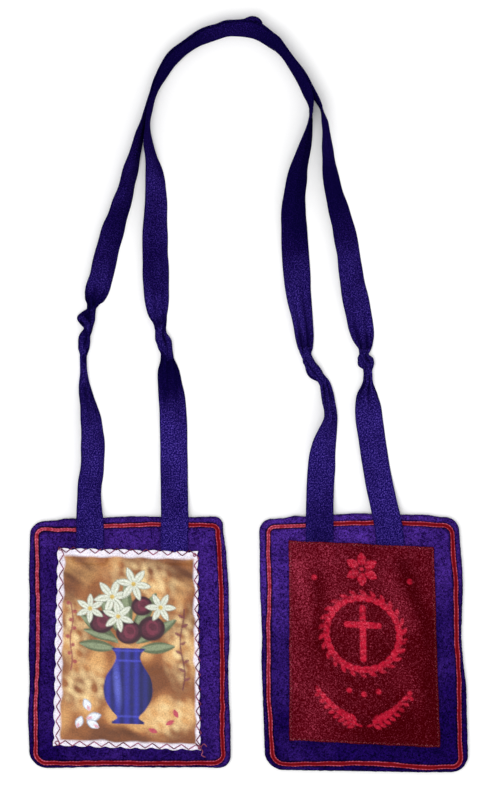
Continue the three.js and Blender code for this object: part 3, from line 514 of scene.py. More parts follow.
for name, shape, seam, cords_apart, node, seed in (
    ("picture_braid", PICTURE_BRAID, PICTURE_SEAM, PICTURE_APART, "picture_panel_braid", 51),
    ("emblem_braid", EMBLEM_BRAID, EMBLEM_SEAM, EMBLEM_APART, "emblem_panel_braid", 55),
):
    piece = braid_strip(name, shape, seam, cords_apart, seed)
    piece.data.materials.append(rayon)
    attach(piece, "root")
    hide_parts(node)

# Ribbons
#
# Two lengths of dark blue-violet ribbon, 10 mm wide, with a fine weave across and edges painted dark as
# shade. Their ends lie on the panels, over the braid and under the patches. Each is tied in an overhand
# knot above either panel.

RIBBON_WIDE = 10.0
RIBBON_THICK = 0.42
RIBBON_STEP = 0.5
RIBBON_POINTS = 37
ON_FELT = 3.1
OVER_BRAID = 3.75
OVER_EDGE = 3.35
OFF_TABLE = 0.02

# Where a ribbon is gathered it swings up and down in this many waves across, which drift this far along
# waves this long. Its slope wavers too.
PLEATS = 2.5
PLEAT_DRIFT, DRIFT_LONG = 0.9, 60
SLOPE_WAVER, WAVER_LONG = 0.05, 14
WIDEST_SWING = 2.2
TIGHTEST, FLATTEST = 1.5, 9.98

# How much the slope of a ribbon falls off from edge to edge where it leans, where it lies flat and where it
# is steep.
LEANING_DROOP, FLAT_DROOP, STEEP_DROOP = 0.42, 0.08, 0.26

# Painted shade: how dark a ribbon is in the valleys of its pleats, where it stands steeply, and where it
# narrows towards a knot. The last begins at one width and is full this much narrower, and ends at another
# in the same way.
VALLEY_DARK, STEEP_DARK, GATHER_DARK = 0.6, 0.6, 0.35
NARROW_FROM, NARROW_OVER = 9.6, 4
OPEN_FROM, OPEN_OVER = 2.5, 3

# Rows follow a ribbon from the picture panel to the emblem panel, each as (x, y, seen, wide, foot). x and y
# are its middle, and seen is how much of its width shows from above, less than nothing once it is turned
# over. wide is what is left of its width where it is gathered, and foot is how high its lowest edge stands.
# A row leaves out foot where the ribbon lies on the table, and wide as well where it isn't gathered.
UNGATHERED = 9.95
OUTER_ROUTE = [
    (-56.9, -60.0, 9.98, 9.98, ON_FELT), (-56.9, -52.2, 9.98, 9.98, ON_FELT),
    (-56.9, -49.3, 9.98, 9.98, OVER_BRAID), (-57.0, -45.4, 9.8, 9.9, OVER_EDGE),
    (-57.2, -39.7, 8.9, 9.9, 2.2), (-57.1, -33.0, 8.7, 9.9, 0.5), (-56.2, -26.7, 8.6, 9.9),
    (-55.95, -18.1, 8.5, 9.9), (-56.15, -13.8, 8.1, 9.9), (-56.6, -9.4, 7.4, 9.6),
    (-57.35, -5.1, 6.1, 8.2), (-58.05, -2.0, 5.2, 7.0), (-58.6, 0.6, 4.3, 5.6), (-59.05, 3.5, 3.2, 4.0),
    (-59.2, 6.4, 2.2, 2.5), (-59.35, 9.3, 1.5, 1.7), (-59.45, 12.6, 1.4, 1.6, 0.1),
    (-59.3, 16.0, 1.7, 1.8, 0.2), (-58.9, 19.5, 1.9, 2.0, 0.3), (-57.8, 23.5, 2.1, 2.2, 0.4),
    (-56.9, 27.5, 2.5, 2.6, 0.3), (-56.5, 30.9, 3.0, 3.1, 0.1), (-56.15, 32.3, 4.2, 4.3),
    (-55.8, 33.8, 6.4, 6.6), (-55.2, 35.4, 7.9, 8.6), (-54.15, 38.4, 8.8, 9.8), (-52.9, 42.4, 8.8, 9.9),
    (-51.95, 46.7, 8.8), (-50.95, 51.0, 8.6), (-49.75, 55.4, 8.2), (-48.5, 59.7, 7.9),
    (-47.05, 64.0, 7.2), (-45.7, 68.3, 6.9), (-44.3, 72.6, 6.4), (-43.25, 77.0, 5.7), (-42.15, 81.3, 5.3),
    (-41.0, 85.6, 4.6), (-39.9, 89.9, 3.6), (-38.9, 94.2, 2.8), (-37.5, 98.5, 1.6), (-36.15, 102.5, 1.2),
    (-35.3, 105.6, 1.1), (-34.2, 108.8, 1.4), (-33.0, 111.8, 2.1), (-31.7, 114.5, 2.9),
    (-30.3, 117.3, 3.6), (-28.5, 119.8, 4.1), (-26.4, 122.0, 4.2), (-24.05, 124.0, 4.0),
    (-21.5, 125.8, 4.1), (-19.0, 127.35, 4.3), (-16.4, 128.85, 4.7), (-13.7, 130.05, 5.0),
    (-10.9, 130.9, 4.9), (-7.9, 131.8, 5.2), (-4.7, 132.1, 5.1), (-1.3, 132.3, 5.6), (1.7, 132.7, 6.6),
    (3.3, 131.2, 5.3), (4.9, 130.2, 4.8), (7.5, 128.5, 4.6), (10.0, 126.8, 4.2), (12.0, 124.6, 3.1),
    (13.9, 122.3, 2.6), (15.7, 119.9, 2.8), (17.2, 117.7, 3.1), (18.6, 115.4, 3.4),
    (20.0, 113.1, 3.6), (21.7, 110.5, 3.2), (23.3, 108.3, 2.2), (25.1, 105.3, 1.2), (26.4, 102.5, 0.3),
    (27.45, 98.5, -2.3), (28.05, 94.2, -3.5), (28.4, 89.9, -4.2), (28.8, 85.6, -5.0), (29.25, 81.3, -5.8),
    (29.95, 77.0, -6.2), (30.85, 72.6, -6.9), (32.05, 68.3, -7.4), (33.2, 64.0, -7.9),
    (34.35, 59.7, -8.4), (35.2, 55.4, -8.6), (36.0, 51.0, -8.7), (36.55, 46.7, -8.8), (37.15, 42.4, -9.0),
    (37.85, 38.1, -9.4), (38.75, 33.8, -9.6), (39.65, 29.4, -9.5, 9.9), (40.45, 25.1, -9.1, 9.3),
    (41.35, 20.8, -8.0, 8.2), (41.9, 17.8, -6.0, 6.2), (41.95, 16.2, -4.5, 4.7),
    (41.8, 14.6, -3.1, 3.2, 0.2), (42.1, 12.4, -2.7, 2.8, 0.4), (42.7, 10.2, -2.6, 2.7, 0.3),
    (43.1, 7.8, -2.8, 2.9), (43.1, 6.2, -3.1, 3.2), (43.1, 4.6, -3.5, 3.7), (43.05, 2.4, -5.4, 5.6),
    (42.95, 0.3, -7.3, 7.5), (42.9, -1.9, -8.6, 8.9), (43.2, -5.1, -9.7, 9.9), (43.6, -9.4, -9.9, 9.98),
    (44.25, -13.8, -9.9, 9.98), (45.5, -22.4, -9.9, 9.98), (46.95, -31.0, -9.9, 9.98, 0.5),
    (48.4, -38.0, -9.9, 9.98, 2.2), (49.5, -42.9, -9.98, 9.98, OVER_EDGE),
    (50.4, -47.1, -9.98, 9.98, OVER_BRAID), (50.9, -50.6, -9.98, 9.98, ON_FELT),
    (51.6, -59.5, -9.98, 9.98, ON_FELT),
]
INNER_ROUTE = [
    (-26.6, -60.0, 9.98, 9.98, ON_FELT), (-26.6, -51.4, 9.98, 9.98, ON_FELT),
    (-26.5, -48.1, 9.98, 9.98, OVER_BRAID), (-26.45, -44.2, 9.98, 9.98, OVER_EDGE),
    (-26.55, -39.0, 9.9, 9.98, 2.2), (-26.65, -32.0, 9.9, 9.98, 0.5), (-26.75, -25.0, 9.9, 9.98),
    (-26.85, -16.7, 9.9, 9.98), (-27.0, -9.4, 9.9, 9.98), (-27.2, -5.1, 9.7), (-27.6, -0.8, 9.4, 9.7),
    (-28.2, 3.5, 8.5, 8.8), (-28.7, 7.8, 7.5, 7.8), (-28.95, 10.4, 6.0, 6.2),
    (-29.15, 12.2, 4.6, 4.8, 0.1), (-29.5, 14.6, 3.5, 3.6, 0.3), (-30.1, 17.6, 2.9, 3.0, 0.4),
    (-30.9, 20.6, 2.9, 3.0, 0.3), (-31.6, 23.2, 3.4, 3.5, 0.1), (-31.75, 25.1, 4.2, 4.4),
    (-31.95, 26.6, 5.2, 5.4), (-32.6, 29.4, 7.3, 7.6), (-32.95, 33.8, 8.8, 9.3), (-33.15, 38.1, 9.3, 9.9),
    (-33.3, 42.4, 9.5), (-33.35, 46.7, 9.4), (-33.55, 51.0, 9.3), (-33.55, 55.4, 9.2),
    (-33.55, 59.7, 9.0), (-33.4, 64.0, 8.7), (-33.2, 68.3, 8.2), (-33.3, 72.6, 7.8), (-33.5, 77.0, 7.2),
    (-34.05, 81.3, 6.1), (-35.0, 85.6, 4.6), (-35.9, 89.9, 3.4), (-36.2, 94.2, 2.3), (-36.0, 98.5, 1.6),
    (-35.4, 102.3, 1.4), (-34.7, 105.4, 1.3), (-33.6, 108.5, 1.6), (-32.4, 111.5, 2.2),
    (-31.0, 114.2, 2.8), (-29.6, 116.9, 3.5), (-27.9, 119.4, 4.0), (-25.9, 121.5, 4.1),
    (-23.6, 123.5, 3.9), (-21.1, 125.2, 4.0), (-18.7, 126.7, 4.2), (-16.1, 128.2, 4.6),
    (-13.5, 129.4, 4.9), (-10.7, 130.2, 4.8), (-7.8, 131.1, 5.1), (-4.7, 131.4, 5.1), (-1.4, 131.4, 5.1),
    (1.8, 130.8, 5.1), (4.5, 129.5, 4.7), (7.2, 127.9, 4.5), (9.5, 126.2, 4.1), (11.5, 124.1, 3.0),
    (13.4, 121.8, 2.5), (15.1, 119.5, 2.7), (16.6, 117.3, 3.0), (18.0, 115.1, 3.4), (19.3, 112.9, 3.7),
    (20.5, 110.6, 3.7), (21.5, 108.2, 3.2), (22.3, 105.6, 2.0), (22.6, 102.9, 0.4), (22.4, 98.5, -1.9),
    (21.7, 94.2, -3.4), (20.65, 89.9, -4.6), (19.4, 85.6, -5.6), (18.2, 81.3, -6.4), (17.45, 77.0, -7.4),
    (16.8, 72.6, -8.1), (16.4, 68.3, -8.8), (16.3, 64.0, -9.2), (16.55, 59.7, -9.6, 9.98),
    (16.7, 55.4, -9.8, 9.98), (16.95, 51.0, -9.9, 9.98), (17.25, 46.7, -9.9, 9.98), (17.6, 42.4, -9.8),
    (17.9, 38.1, -9.5, 9.8), (18.45, 33.8, -8.9, 9.2), (19.2, 29.4, -7.9, 8.2), (19.8, 25.1, -7.3, 7.6),
    (20.25, 20.8, -6.6, 6.9), (20.5, 18.0, -5.6, 5.9), (20.65, 16.4, -4.8, 5.0),
    (20.9, 14.2, -3.1, 3.2, 0.2), (22.3, 11.4, -2.7, 2.8, 0.4), (24.0, 8.6, -2.7, 2.8, 0.4),
    (26.2, 5.8, -2.7, 2.8, 0.3), (27.5, 3.9, -3.2, 3.3, 0.1), (27.95, 2.6, -3.7, 3.9),
    (28.5, -0.1, -4.6, 5.4), (29.0, -3.0, -5.0, 6.8), (29.55, -5.85, -5.1, 8.0), (29.65, -8.7, -5.5, 9.0),
    (29.1, -11.6, -6.3, 9.6), (28.3, -14.5, -7.3, 9.9), (27.35, -18.1, -8.6), (26.65, -22.4, -9.5, 9.98),
    (26.4, -26.7, -9.9, 9.98), (26.05, -31.5, -9.9, 9.98, 0.5), (25.8, -38.0, -9.9, 9.98, 2.2),
    (25.7, -43.2, -9.98, 9.98, OVER_EDGE), (25.7, -47.4, -9.98, 9.98, OVER_BRAID),
    (25.7, -50.8, -9.98, 9.98, ON_FELT), (25.7, -59.0, -9.98, 9.98, ON_FELT),
]


def smooth_rows(table, step):
    """Rows about a step apart on a smooth curve through a table's rows. Between two rows each column is the
    cubic whose slope at a row is half the difference of that row's neighbours."""
    rows = np.array(table, float)
    wider = np.vstack([rows[:1], rows, rows[-1:]])
    count = np.maximum(np.ceil(np.hypot(*np.diff(rows[:, :2], axis=0).T) / step).astype(int), 1)
    i = np.repeat(np.arange(len(count)), count)
    t = ((np.arange(len(i)) - np.repeat(np.cumsum(count) - count, count)) / count[i])[:, None]
    a, b, c, d = (wider[i + k] for k in range(4))
    curve = b + 0.5 * ((c - a) * t + (2 * a - 5 * b + 4 * c - d) * t**2 + (3 * b - a - 3 * c + d) * t**3)
    return np.vstack([curve, rows[-1:]])


# Places where a ribbon turns from the light and is nearly black: x, y, how far the dark reaches, and its
# depth from 0 to 1. At a depth less than nothing it turns to the light and is paler.
IN_SHADE = [
    (-56.5, 31.0, 7, 0.6), (-59.5, 22.0, 5, 0.35), (-28.5, 5.0, 9, 0.85), (-29.5, 13.0, 6, 0.3),
    (-35.0, 45.0, 9, 0.4), (18.5, 70.0, 17, 0.9), (31.5, 76.0, 14, 0.5), (-30.0, 117.0, 11, 0.6),
    (19.0, 113.0, 12, 0.6), (-48.0, 60.0, 11, 0.45), (10.0, 126.0, 9, 0.7), (-20.0, 127.0, 6, 0.3),
    (25.7, -50.0, 11, 0.45), (30.0, -6.0, 7, -0.1), (-57.0, -6.0, 6, 0.1), (45.0, -4.0, 6, -0.15),
    (-59.3, 7.5, 5, -0.9), (-29.0, -17.0, 7, -0.4), (-31.0, 19.0, 4, -0.4), (17.5, 30.0, 7, -0.3),
    (-33.5, 72.0, 8, -0.2), (-4.0, 131.0, 8, -0.2), (22.5, 11.0, 4, -0.2), (42.5, 12.0, 3, -0.3),
    (-34.0, -36.0, 9, 0.1), (-31.0, 30.0, 7, -0.25), (18.0, 58.0, 8, 0.35), (-42.0, 88.0, 8, -0.35),
    (28.0, 88.0, 7, -0.3), (-58.0, -1.0, 5, -0.15),
]


def out_of_light(x, y):
    """How deep in shade a place is: the sum of bell curves of its distance from each place above."""
    deep = 0
    for px, py, reach, depth in IN_SHADE:
        deep = deep + depth * np.exp(-((x - px) ** 2 + (y - py) ** 2) / reach**2)
    return deep


def full_row(x, y, seen, wide=UNGATHERED, foot=0):
    """A row of a route with the values that it leaves out."""
    return x, y, seen, wide, foot


def fold_angles(wide):
    """How steeply the cloth must swing to either side for its width to shrink to `wide`: with a swing that
    follows a sine across it, what is left of the width is the mean cosine of that swing."""
    swing = np.linspace(0, WIDEST_SWING, 200)
    left = np.cos(swing[:, None] * np.sin(np.linspace(0, 2 * np.pi, 100, endpoint=False))).mean(axis=1)
    return np.interp(wide / RIBBON_WIDE, left[::-1], swing[::-1])


def ribbon_band(name, table, seed):
    """The ribbon's section carried along its route. The section is a line of the ribbon's own width whose
    slope is the lean plus a sine of the place across, so it lies flat, leans, or gathers into lengthwise
    pleats. A leaning stretch also droops a little: its slope is less towards the free edge."""
    rows = smooth_rows([full_row(*row) for row in table], RIBBON_STEP)
    x, y, seen, wide, foot = rows.T
    along = np.concatenate([[0], np.cumsum(np.hypot(np.diff(x), np.diff(y)))])
    forward = np.gradient(rows[:, :2], axis=0)
    forward /= np.hypot(*forward.T)[:, None]
    left = np.column_stack([-forward[:, 1], forward[:, 0]])
    share = np.clip(seen / wide, -1, 1)
    thick_shows = RIBBON_THICK * np.sqrt(1 - share**2)
    lean = np.arccos(np.sign(share) * np.clip(np.abs(share) - thick_shows / wide, 0, 1))
    droop = -LEANING_DROOP * np.sin(lean) * np.cos(lean) - FLAT_DROOP * np.cos(lean)
    droop -= STEEP_DROOP * np.sin(lean) ** 4
    s = np.linspace(-0.5, 0.5, RIBBON_POINTS)
    swing = fold_angles(np.clip(wide, TIGHTEST, FLATTEST))
    drift = PLEAT_DRIFT * ripple(along, 0 * along, DRIFT_LONG, seed)
    pleats = 2 * np.pi * PLEATS * s + drift[:, None]
    slope = lean[:, None] + swing[:, None] * np.sin(pleats)
    slope += droop[:, None] * np.sin(np.pi * s) * np.clip(wide / (RIBBON_WIDE / 2) - 1, 0, 1)[:, None]
    run, beside = np.meshgrid(along, RIBBON_WIDE * s, indexing="ij")
    slope += SLOPE_WAVER * ripple(run, beside, WAVER_LONG, seed + 1)
    step = RIBBON_WIDE * (s[1] - s[0])
    middle = (slope[:, 1:] + slope[:, :-1]) / 2
    side = np.cumsum(np.pad(np.cos(middle) * step, ((0, 0), (1, 0))), axis=1)
    up = np.cumsum(np.pad(np.sin(middle) * step, ((0, 0), (1, 0))), axis=1)
    half = RIBBON_THICK / 2
    faces = []
    for face in (-half, half):
        faces.append(np.stack([side - np.sin(slope) * face, up + np.cos(slope) * face]))
    section = np.concatenate([faces[0], faces[1][..., ::-1]], axis=2)
    section[0] -= (section[0].max(axis=1) + section[0].min(axis=1))[:, None] / 2
    section[1] -= section[1].min(axis=1)[:, None]
    section[1] += np.maximum(foot, OFF_TABLE)[:, None]
    ring_x = x[:, None] + left[:, :1] * section[0]
    ring_y = y[:, None] + left[:, 1:] * section[0]
    across = np.concatenate([s, s[::-1]]) * RIBBON_WIDE
    v, u = np.meshgrid(along, across, indexing="ij")
    # Painted shade in the valleys of the pleats, on steep stretches and where the ribbon gathers.
    valley = np.clip(-np.cos(pleats) * swing[:, None] * VALLEY_DARK, 0, 1)
    narrowed = np.clip((NARROW_FROM - wide) / NARROW_OVER, 0, 1)
    still_open = np.clip((wide - OPEN_FROM) / OPEN_OVER, 0, 1)
    steep = STEEP_DARK * np.sin(lean) ** 4 + GATHER_DARK * narrowed * still_open
    shade = np.maximum(valley, steep[:, None])
    shade = np.concatenate([shade, shade[:, ::-1]], axis=1)
    shade = np.clip(shade + out_of_light(ring_x, ring_y), -1, 1)
    return loft(name, np.dstack([ring_x, ring_y, section[1]]), np.dstack([u, v])), along[-1], shade


# Steps between a knot's slices and along a strand, and points across a slice. Shares of the full height: of
# a strand at its edge and what its ridge adds, of a bare place, and of a knot's drawn-up edges. Then the
# wrinkles of the surface, the painted shade of creases and sunken places, how much paler the whole knot is
# painted, and the painted highlight on crests.
SLICE_STEP, STRAND_STEP = 0.18, 0.3
SLICE_POINTS = 45
STRAND_FOOT, STRAND_RISE = 0.42, 0.58
BARE_SHARE, BELLY_SHARE = 0.5, 0.3
WRINKLE_TALL, WRINKLE_LONG = 0.09, 1.5
CRUMPLE_TALL, CRUMPLE_LONG = 0.08, 2.6
CREASE_WIDE = 0.3
SUNKEN_DARK, CREST_PALE, ALL_PALER = 1.3, 0.5, 0.15

# Each overhand knot is pulled close, so that of the crumpled ribbon only its outline and a few strands
# show. Slices go down the knot as x, y, half width and height. Strands lie on it, each as its half width
# and points x, y and height.
KNOTS = {
    "outer_knot_picture": ([
        (-56.35, 31.9, 1.5, 1.8), (-56.5, 30.9, 1.6, 2.6), (-57.65, 29.4, 2.65, 3.6),
        (-58.35, 28.0, 3.25, 4.2), (-58.35, 26.6, 3.15, 4.5), (-58.0, 25.1, 2.4, 4.3),
        (-57.65, 23.7, 1.65, 4.0), (-58.4, 22.2, 2.0, 4.1), (-59.0, 20.8, 2.1, 4.3),
        (-59.1, 19.4, 2.2, 4.3), (-59.15, 17.9, 2.15, 4.0), (-59.25, 16.5, 2.05, 3.4),
        (-59.3, 15.0, 1.6, 2.8), (-59.4, 13.6, 1.2, 2.4), (-59.4, 12.4, 1.05, 1.9),
    ], [
        (1.3, [(-61.4, 26.6, 3.0), (-60.2, 27.7, 4.2), (-58.7, 26.5, 4.5), (-57.6, 24.4, 4.3),
               (-57.4, 22.0, 3.6)]),
        (1.1, [(-56.4, 32.0, 2.2), (-56.2, 28.5, 3.4), (-56.4, 25.5, 3.2), (-57.4, 21.0, 3.4),
               (-58.4, 17.5, 3.0)]),
        (1.3, [(-58.0, 22.8, 3.0), (-59.6, 20.4, 4.2), (-59.9, 18.0, 4.0), (-59.6, 15.0, 2.8),
               (-59.4, 12.6, 2.0)]),
        (0.8, [(-61.2, 25.6, 2.6), (-60.0, 24.8, 3.2), (-58.9, 23.9, 3.3)]),
    ]),
    "inner_knot_picture": ([
        (-31.7, 25.2, 2.0, 1.9), (-31.75, 23.7, 1.85, 2.8), (-31.55, 22.2, 2.05, 3.6),
        (-31.0, 20.8, 2.6, 4.2), (-30.55, 19.4, 2.95, 4.4), (-30.15, 17.9, 2.75, 4.4),
        (-29.9, 16.5, 2.6, 4.0), (-29.4, 15.0, 2.3, 3.4), (-29.15, 13.6, 2.25, 2.8),
        (-29.2, 12.0, 2.4, 1.9),
    ], [
        (1.4, [(-31.9, 25.4, 2.0), (-32.2, 22.0, 3.8), (-31.5, 19.2, 4.3), (-30.2, 16.4, 3.8),
               (-29.4, 12.4, 2.2)]),
        (1.1, [(-29.6, 21.6, 3.2), (-28.8, 19.2, 4.0), (-28.4, 16.4, 3.6), (-28.2, 13.0, 2.4)]),
        (0.9, [(-33.2, 19.4, 2.8), (-32.0, 17.6, 3.6), (-30.9, 15.2, 3.2), (-30.8, 12.6, 2.2)]),
    ]),
    "inner_knot_emblem": ([
        (20.6, 16.8, 2.5, 1.9), (20.65, 15.6, 2.3, 2.6), (20.9, 14.3, 1.85, 3.2), (21.5, 12.9, 2.0, 3.9),
        (22.05, 11.4, 2.35, 4.4), (23.0, 10.0, 2.6, 4.5), (23.6, 8.6, 2.9, 4.4), (24.3, 7.1, 3.0, 4.0),
        (25.45, 5.7, 2.85, 3.4), (27.3, 4.2, 1.8, 2.8), (27.9, 3.0, 1.85, 1.9),
    ], [
        (1.3, [(20.6, 17.0, 2.2), (21.2, 13.8, 3.7), (22.8, 11.2, 4.5), (24.8, 8.4, 4.2),
               (27.4, 4.4, 2.6)]),
        (1.0, [(20.2, 12.2, 3.0), (21.4, 9.8, 3.8), (23.0, 7.6, 3.7), (25.2, 6.2, 3.0)]),
        (0.9, [(22.6, 14.6, 2.6), (24.2, 11.6, 3.3), (26.2, 8.4, 3.0), (28.2, 5.0, 2.2)]),
    ]),
    "outer_knot_emblem": ([
        (41.95, 16.4, 2.2, 1.8), (41.75, 15.0, 1.8, 2.8), (41.7, 14.3, 1.8, 3.4),
        (42.15, 13.2, 2.75, 4.0), (42.35, 12.2, 2.9, 4.4), (42.4, 11.1, 3.0, 4.4),
        (42.5, 10.0, 2.65, 4.0), (43.1, 8.9, 1.7, 3.2), (43.1, 7.8, 1.5, 2.4), (43.1, 6.8, 1.45, 1.8),
    ], [
        (1.4, [(41.8, 16.4, 2.0), (41.0, 13.8, 3.9), (40.7, 11.6, 4.2), (41.6, 9.8, 3.4)]),
        (1.0, [(41.2, 12.6, 4.2), (42.4, 11.4, 4.5), (43.4, 10.2, 4.0), (43.2, 7.4, 2.4)]),
        (1.2, [(43.2, 13.6, 3.2), (44.2, 12.6, 3.9), (44.5, 11.0, 3.6), (43.6, 9.6, 3.0)]),
    ]),
}


def knot_lump(name, slices, strands, seed):
    """Slices across a knot from its left to its right edge, each an oval. A slice is as high as the highest
    strand on it, and a strand's ridge is an oval of the distance from its line; so where two strands meet
    there is a crease."""
    rows = smooth_rows(slices, SLICE_STEP)
    q = np.sin(np.linspace(-np.pi / 2, np.pi / 2, SLICE_POINTS))
    x = rows[:, :1] + rows[:, 2:3] * q
    y = rows[:, 1:2] + 0 * q
    oval = np.sqrt(1 - q**2) ** 0.8
    tall = rows[:, 3:4]
    heights = [BARE_SHARE * tall * oval]
    for half, points in strands:
        line = smooth_rows(points, STRAND_STEP)
        away = np.hypot(x[..., None] - line[:, 0], y[..., None] - line[:, 1])
        ridge = np.sqrt(np.clip(1 - (away.min(axis=-1) / half) ** 2, 0, 1))
        heights.append((STRAND_FOOT + STRAND_RISE * ridge) * line[away.argmin(axis=-1), 2] * (ridge > 0))
    heights = np.sort(np.minimum(np.array(heights), tall * oval), axis=0)
    top = heights[-1] + WRINKLE_TALL * oval * ripple(x, y * 0.3, WRINKLE_LONG, seed)
    top += CRUMPLE_TALL * oval * ripple(x, y, CRUMPLE_LONG, seed + 1)
    belly = BELLY_SHARE * tall
    upper = np.dstack([x, y, np.maximum(top, belly * oval) + belly * (1 - oval)])
    lower = np.dstack([x, y, belly * (1 - oval) + OFF_TABLE])[:, -2:0:-1]
    sunken = 1 - heights[-1] / (tall * oval + 0.05)
    crest = np.clip(1 - 3 * sunken, 0, 1) * oval
    crease = np.exp(-(heights[-1] - heights[-2]) / CREASE_WIDE)
    shade = crease + SUNKEN_DARK * sunken - ALL_PALER - CREST_PALE * crest
    shade = np.clip(shade + out_of_light(x, y), -1, 1)
    uv = np.dstack([x, y])
    lump = loft(name, np.concatenate([upper, lower], axis=1), np.concatenate([uv, uv[:, -2:0:-1]], axis=1))
    store(lump, "crease", np.concatenate([shade, 0 * shade[:, -2:0:-1]], axis=1), [0, 0])
    return lump


# Woven polyester ribbon in blue-violet: matt, with fine ribs across that break the light into specks. The
# ribs are drawn 0.5 mm apart, coarser than the real ones, so that they show. Painted light and shade make
# the ribbon palest by the panels and deepest at the top, and painted shade makes creases and edges nearly
# black. The crease that each point stores is painted shade: how dark it is, from 0 to 1, for lying in a
# fold, standing steeply or turning from the light; less than nothing is painted light, paler than the
# rest.
RIB_PITCH = 0.5
END_PITCH = 0.62
ribbon_cloth, tree, shader = new_material("woven ribbon", Roughness=0.95, Specular_IOR_Level=0.0)
cloth = add_node(tree, "UVMap", {"uv_map": "cloth"}, {})
place = add_node(tree, "TexCoord", {}, {})
parts = add_node(tree, "SeparateXYZ", {}, {0: cloth.outputs[0]})
rib_turns = add_node(
    tree, "Math", {"operation": "MULTIPLY", 1: 2 * np.pi / (RIB_PITCH * MM)}, {0: parts.outputs["Y"]}
)
end_turns = add_node(
    tree, "Math", {"operation": "MULTIPLY", 1: 2 * np.pi / (END_PITCH * MM)}, {0: parts.outputs["X"]}
)
ribs = add_node(tree, "Math", {"operation": "SINE"}, {0: rib_turns.outputs[0]})
ends = add_node(tree, "Math", {"operation": "SINE"}, {0: end_turns.outputs[0]})
weave = add_node(tree, "Math", {"operation": "MULTIPLY"}, {0: ribs.outputs[0], 1: ends.outputs[0]})
specks = add_node(
    tree, "TexNoise", {"Scale": 1 / (0.5 * MM), "Detail": 3.0, "Roughness": 0.85},
    {"Vector": cloth.outputs[0]},
)
patches = add_node(
    tree, "TexNoise", {"Scale": 1 / (9 * MM), "Detail": 2.0}, {"Vector": place.outputs["Object"]}
)
bloom = add_node(
    tree, "MapRange", {"From Min": 0.3, "From Max": 0.7, "To Min": -0.3, "To Max": 0.3},
    {"Value": patches.outputs[0]},
)
# Painted light and shade by height: paler by the panels, darker towards the top.
spot = add_node(tree, "SeparateXYZ", {}, {0: place.outputs["Object"]})
paler = add_node(
    tree, "MapRange", {"From Min": -10 * MM, "From Max": 95 * MM, "To Min": 0.75, "To Max": 0.2},
    {"Value": spot.outputs["Y"]},
)
crease = add_node(tree, "Attribute", {"attribute_name": "crease"}, {})
by_height = add_node(tree, "Math", {"operation": "ADD"}, {0: bloom.outputs[0], 1: paler.outputs[0]})
tone_and_light = add_node(
    tree, "Math", {"operation": "SUBTRACT", "use_clamp": True},
    {0: by_height.outputs[0], 1: crease.outputs["Fac"]},
)
woven = add_node(
    tree, "MapRange", {"From Min": -1.0, "From Max": 1.0, "To Min": -0.03, "To Max": 0.03},
    {"Value": weave.outputs[0]},
)
speckled = add_node(tree, "Math", {"operation": "ADD"}, {0: specks.outputs[0], 1: woven.outputs[0]})
shade = add_node(tree, "MapRange", {"From Min": 0.5, "From Max": 0.62}, {"Value": speckled.outputs[0]})
deep = add_node(
    tree, "Mix", {"data_type": "RGBA", 6: rgba("05022A"), 7: rgba("0C0448")}, {0: tone_and_light.outputs[0]}
)
lit = add_node(
    tree, "Mix", {"data_type": "RGBA", 6: rgba("34207C"), 7: rgba("5A44B0")}, {0: tone_and_light.outputs[0]}
)
dyed = add_node(
    tree, "Mix", {"data_type": "RGBA"}, {0: shade.outputs[0], 6: deep.outputs[2], 7: lit.outputs[2]}
)
# Painted shade along both edges of the ribbon.
off_middle = add_node(tree, "Math", {"operation": "ABSOLUTE"}, {0: parts.outputs["X"]})
painted_edge_shade = add_node(
    tree, "MapRange", {"From Min": 4.2 * MM, "From Max": 4.9 * MM, "To Max": 0.45},
    {"Value": off_middle.outputs[0]},
)
sunken = add_node(tree, "Math", {"operation": "MULTIPLY", 1: 0.7}, {0: crease.outputs["Fac"]})
dark = add_node(tree, "Math", {"operation": "MAXIMUM"}, {0: painted_edge_shade.outputs[0], 1: sunken.outputs[0]})
shaded = add_node(
    tree, "Mix", {"data_type": "RGBA", 7: rgba("04022A")}, {0: dark.outputs[0], 6: dyed.outputs[2]}
)
relief = add_node(tree, "Bump", {"Strength": 0.4, "Distance": 0.12 * MM}, {"Height": speckled.outputs[0]})
tree.links.new(shaded.outputs[2], shader.inputs["Base Color"])
tree.links.new(relief.outputs[0], shader.inputs["Normal"])

lumps = {}
for seed, (name, (slices, strands)) in enumerate(KNOTS.items()):
    lumps[name] = knot_lump(name + "_crumple", slices, strands, 41 + 2 * seed)
for name, table, seed, sides in (
    ("outer", OUTER_ROUTE, 61, ("outer_knot_picture", "outer_knot_emblem")),
    ("inner", INNER_ROUTE, 71, ("inner_knot_picture", "inner_knot_emblem")),
):
    piece, long, shade = ribbon_band(name + "_ribbon_cloth", table, seed)
    store(piece, "crease", shade, [0, 0])
    tied = [lumps[side] for side in sides]
    for part in (piece, *tied):
        part.data.materials.append(ribbon_cloth)
        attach(part, "root")
    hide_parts(name + "_ribbon", name + "_ribbon_tail_picture", name + "_ribbon_tail_emblem")
    for side, lump in zip(sides, tied):
        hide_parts(side)

# Picture patch
#
# White polyester satin with a printed picture on a golden brown ground, cut with a narrow white margin and
# sewn down by machine with a zigzag stitch in dark red thread. It lies over the ribbon ends, which lift its
# top edge.

RIBBON_LIFT = 1.15
LIFT_RAMP = 2.4
LIFT_BESIDE = 0.3
SLACK_OVER_END = 0.3
GRID_STEP = 0.33
ZIGZAG_PITCH = 5.2
EDGE_WAVER, EDGE_WAVE = 0.12, 9
SLANT_WRINKLE, SLANT_WAVE = 0.28, 13
SMALL_WRINKLE, SMALL_WAVE = 0.12, 6

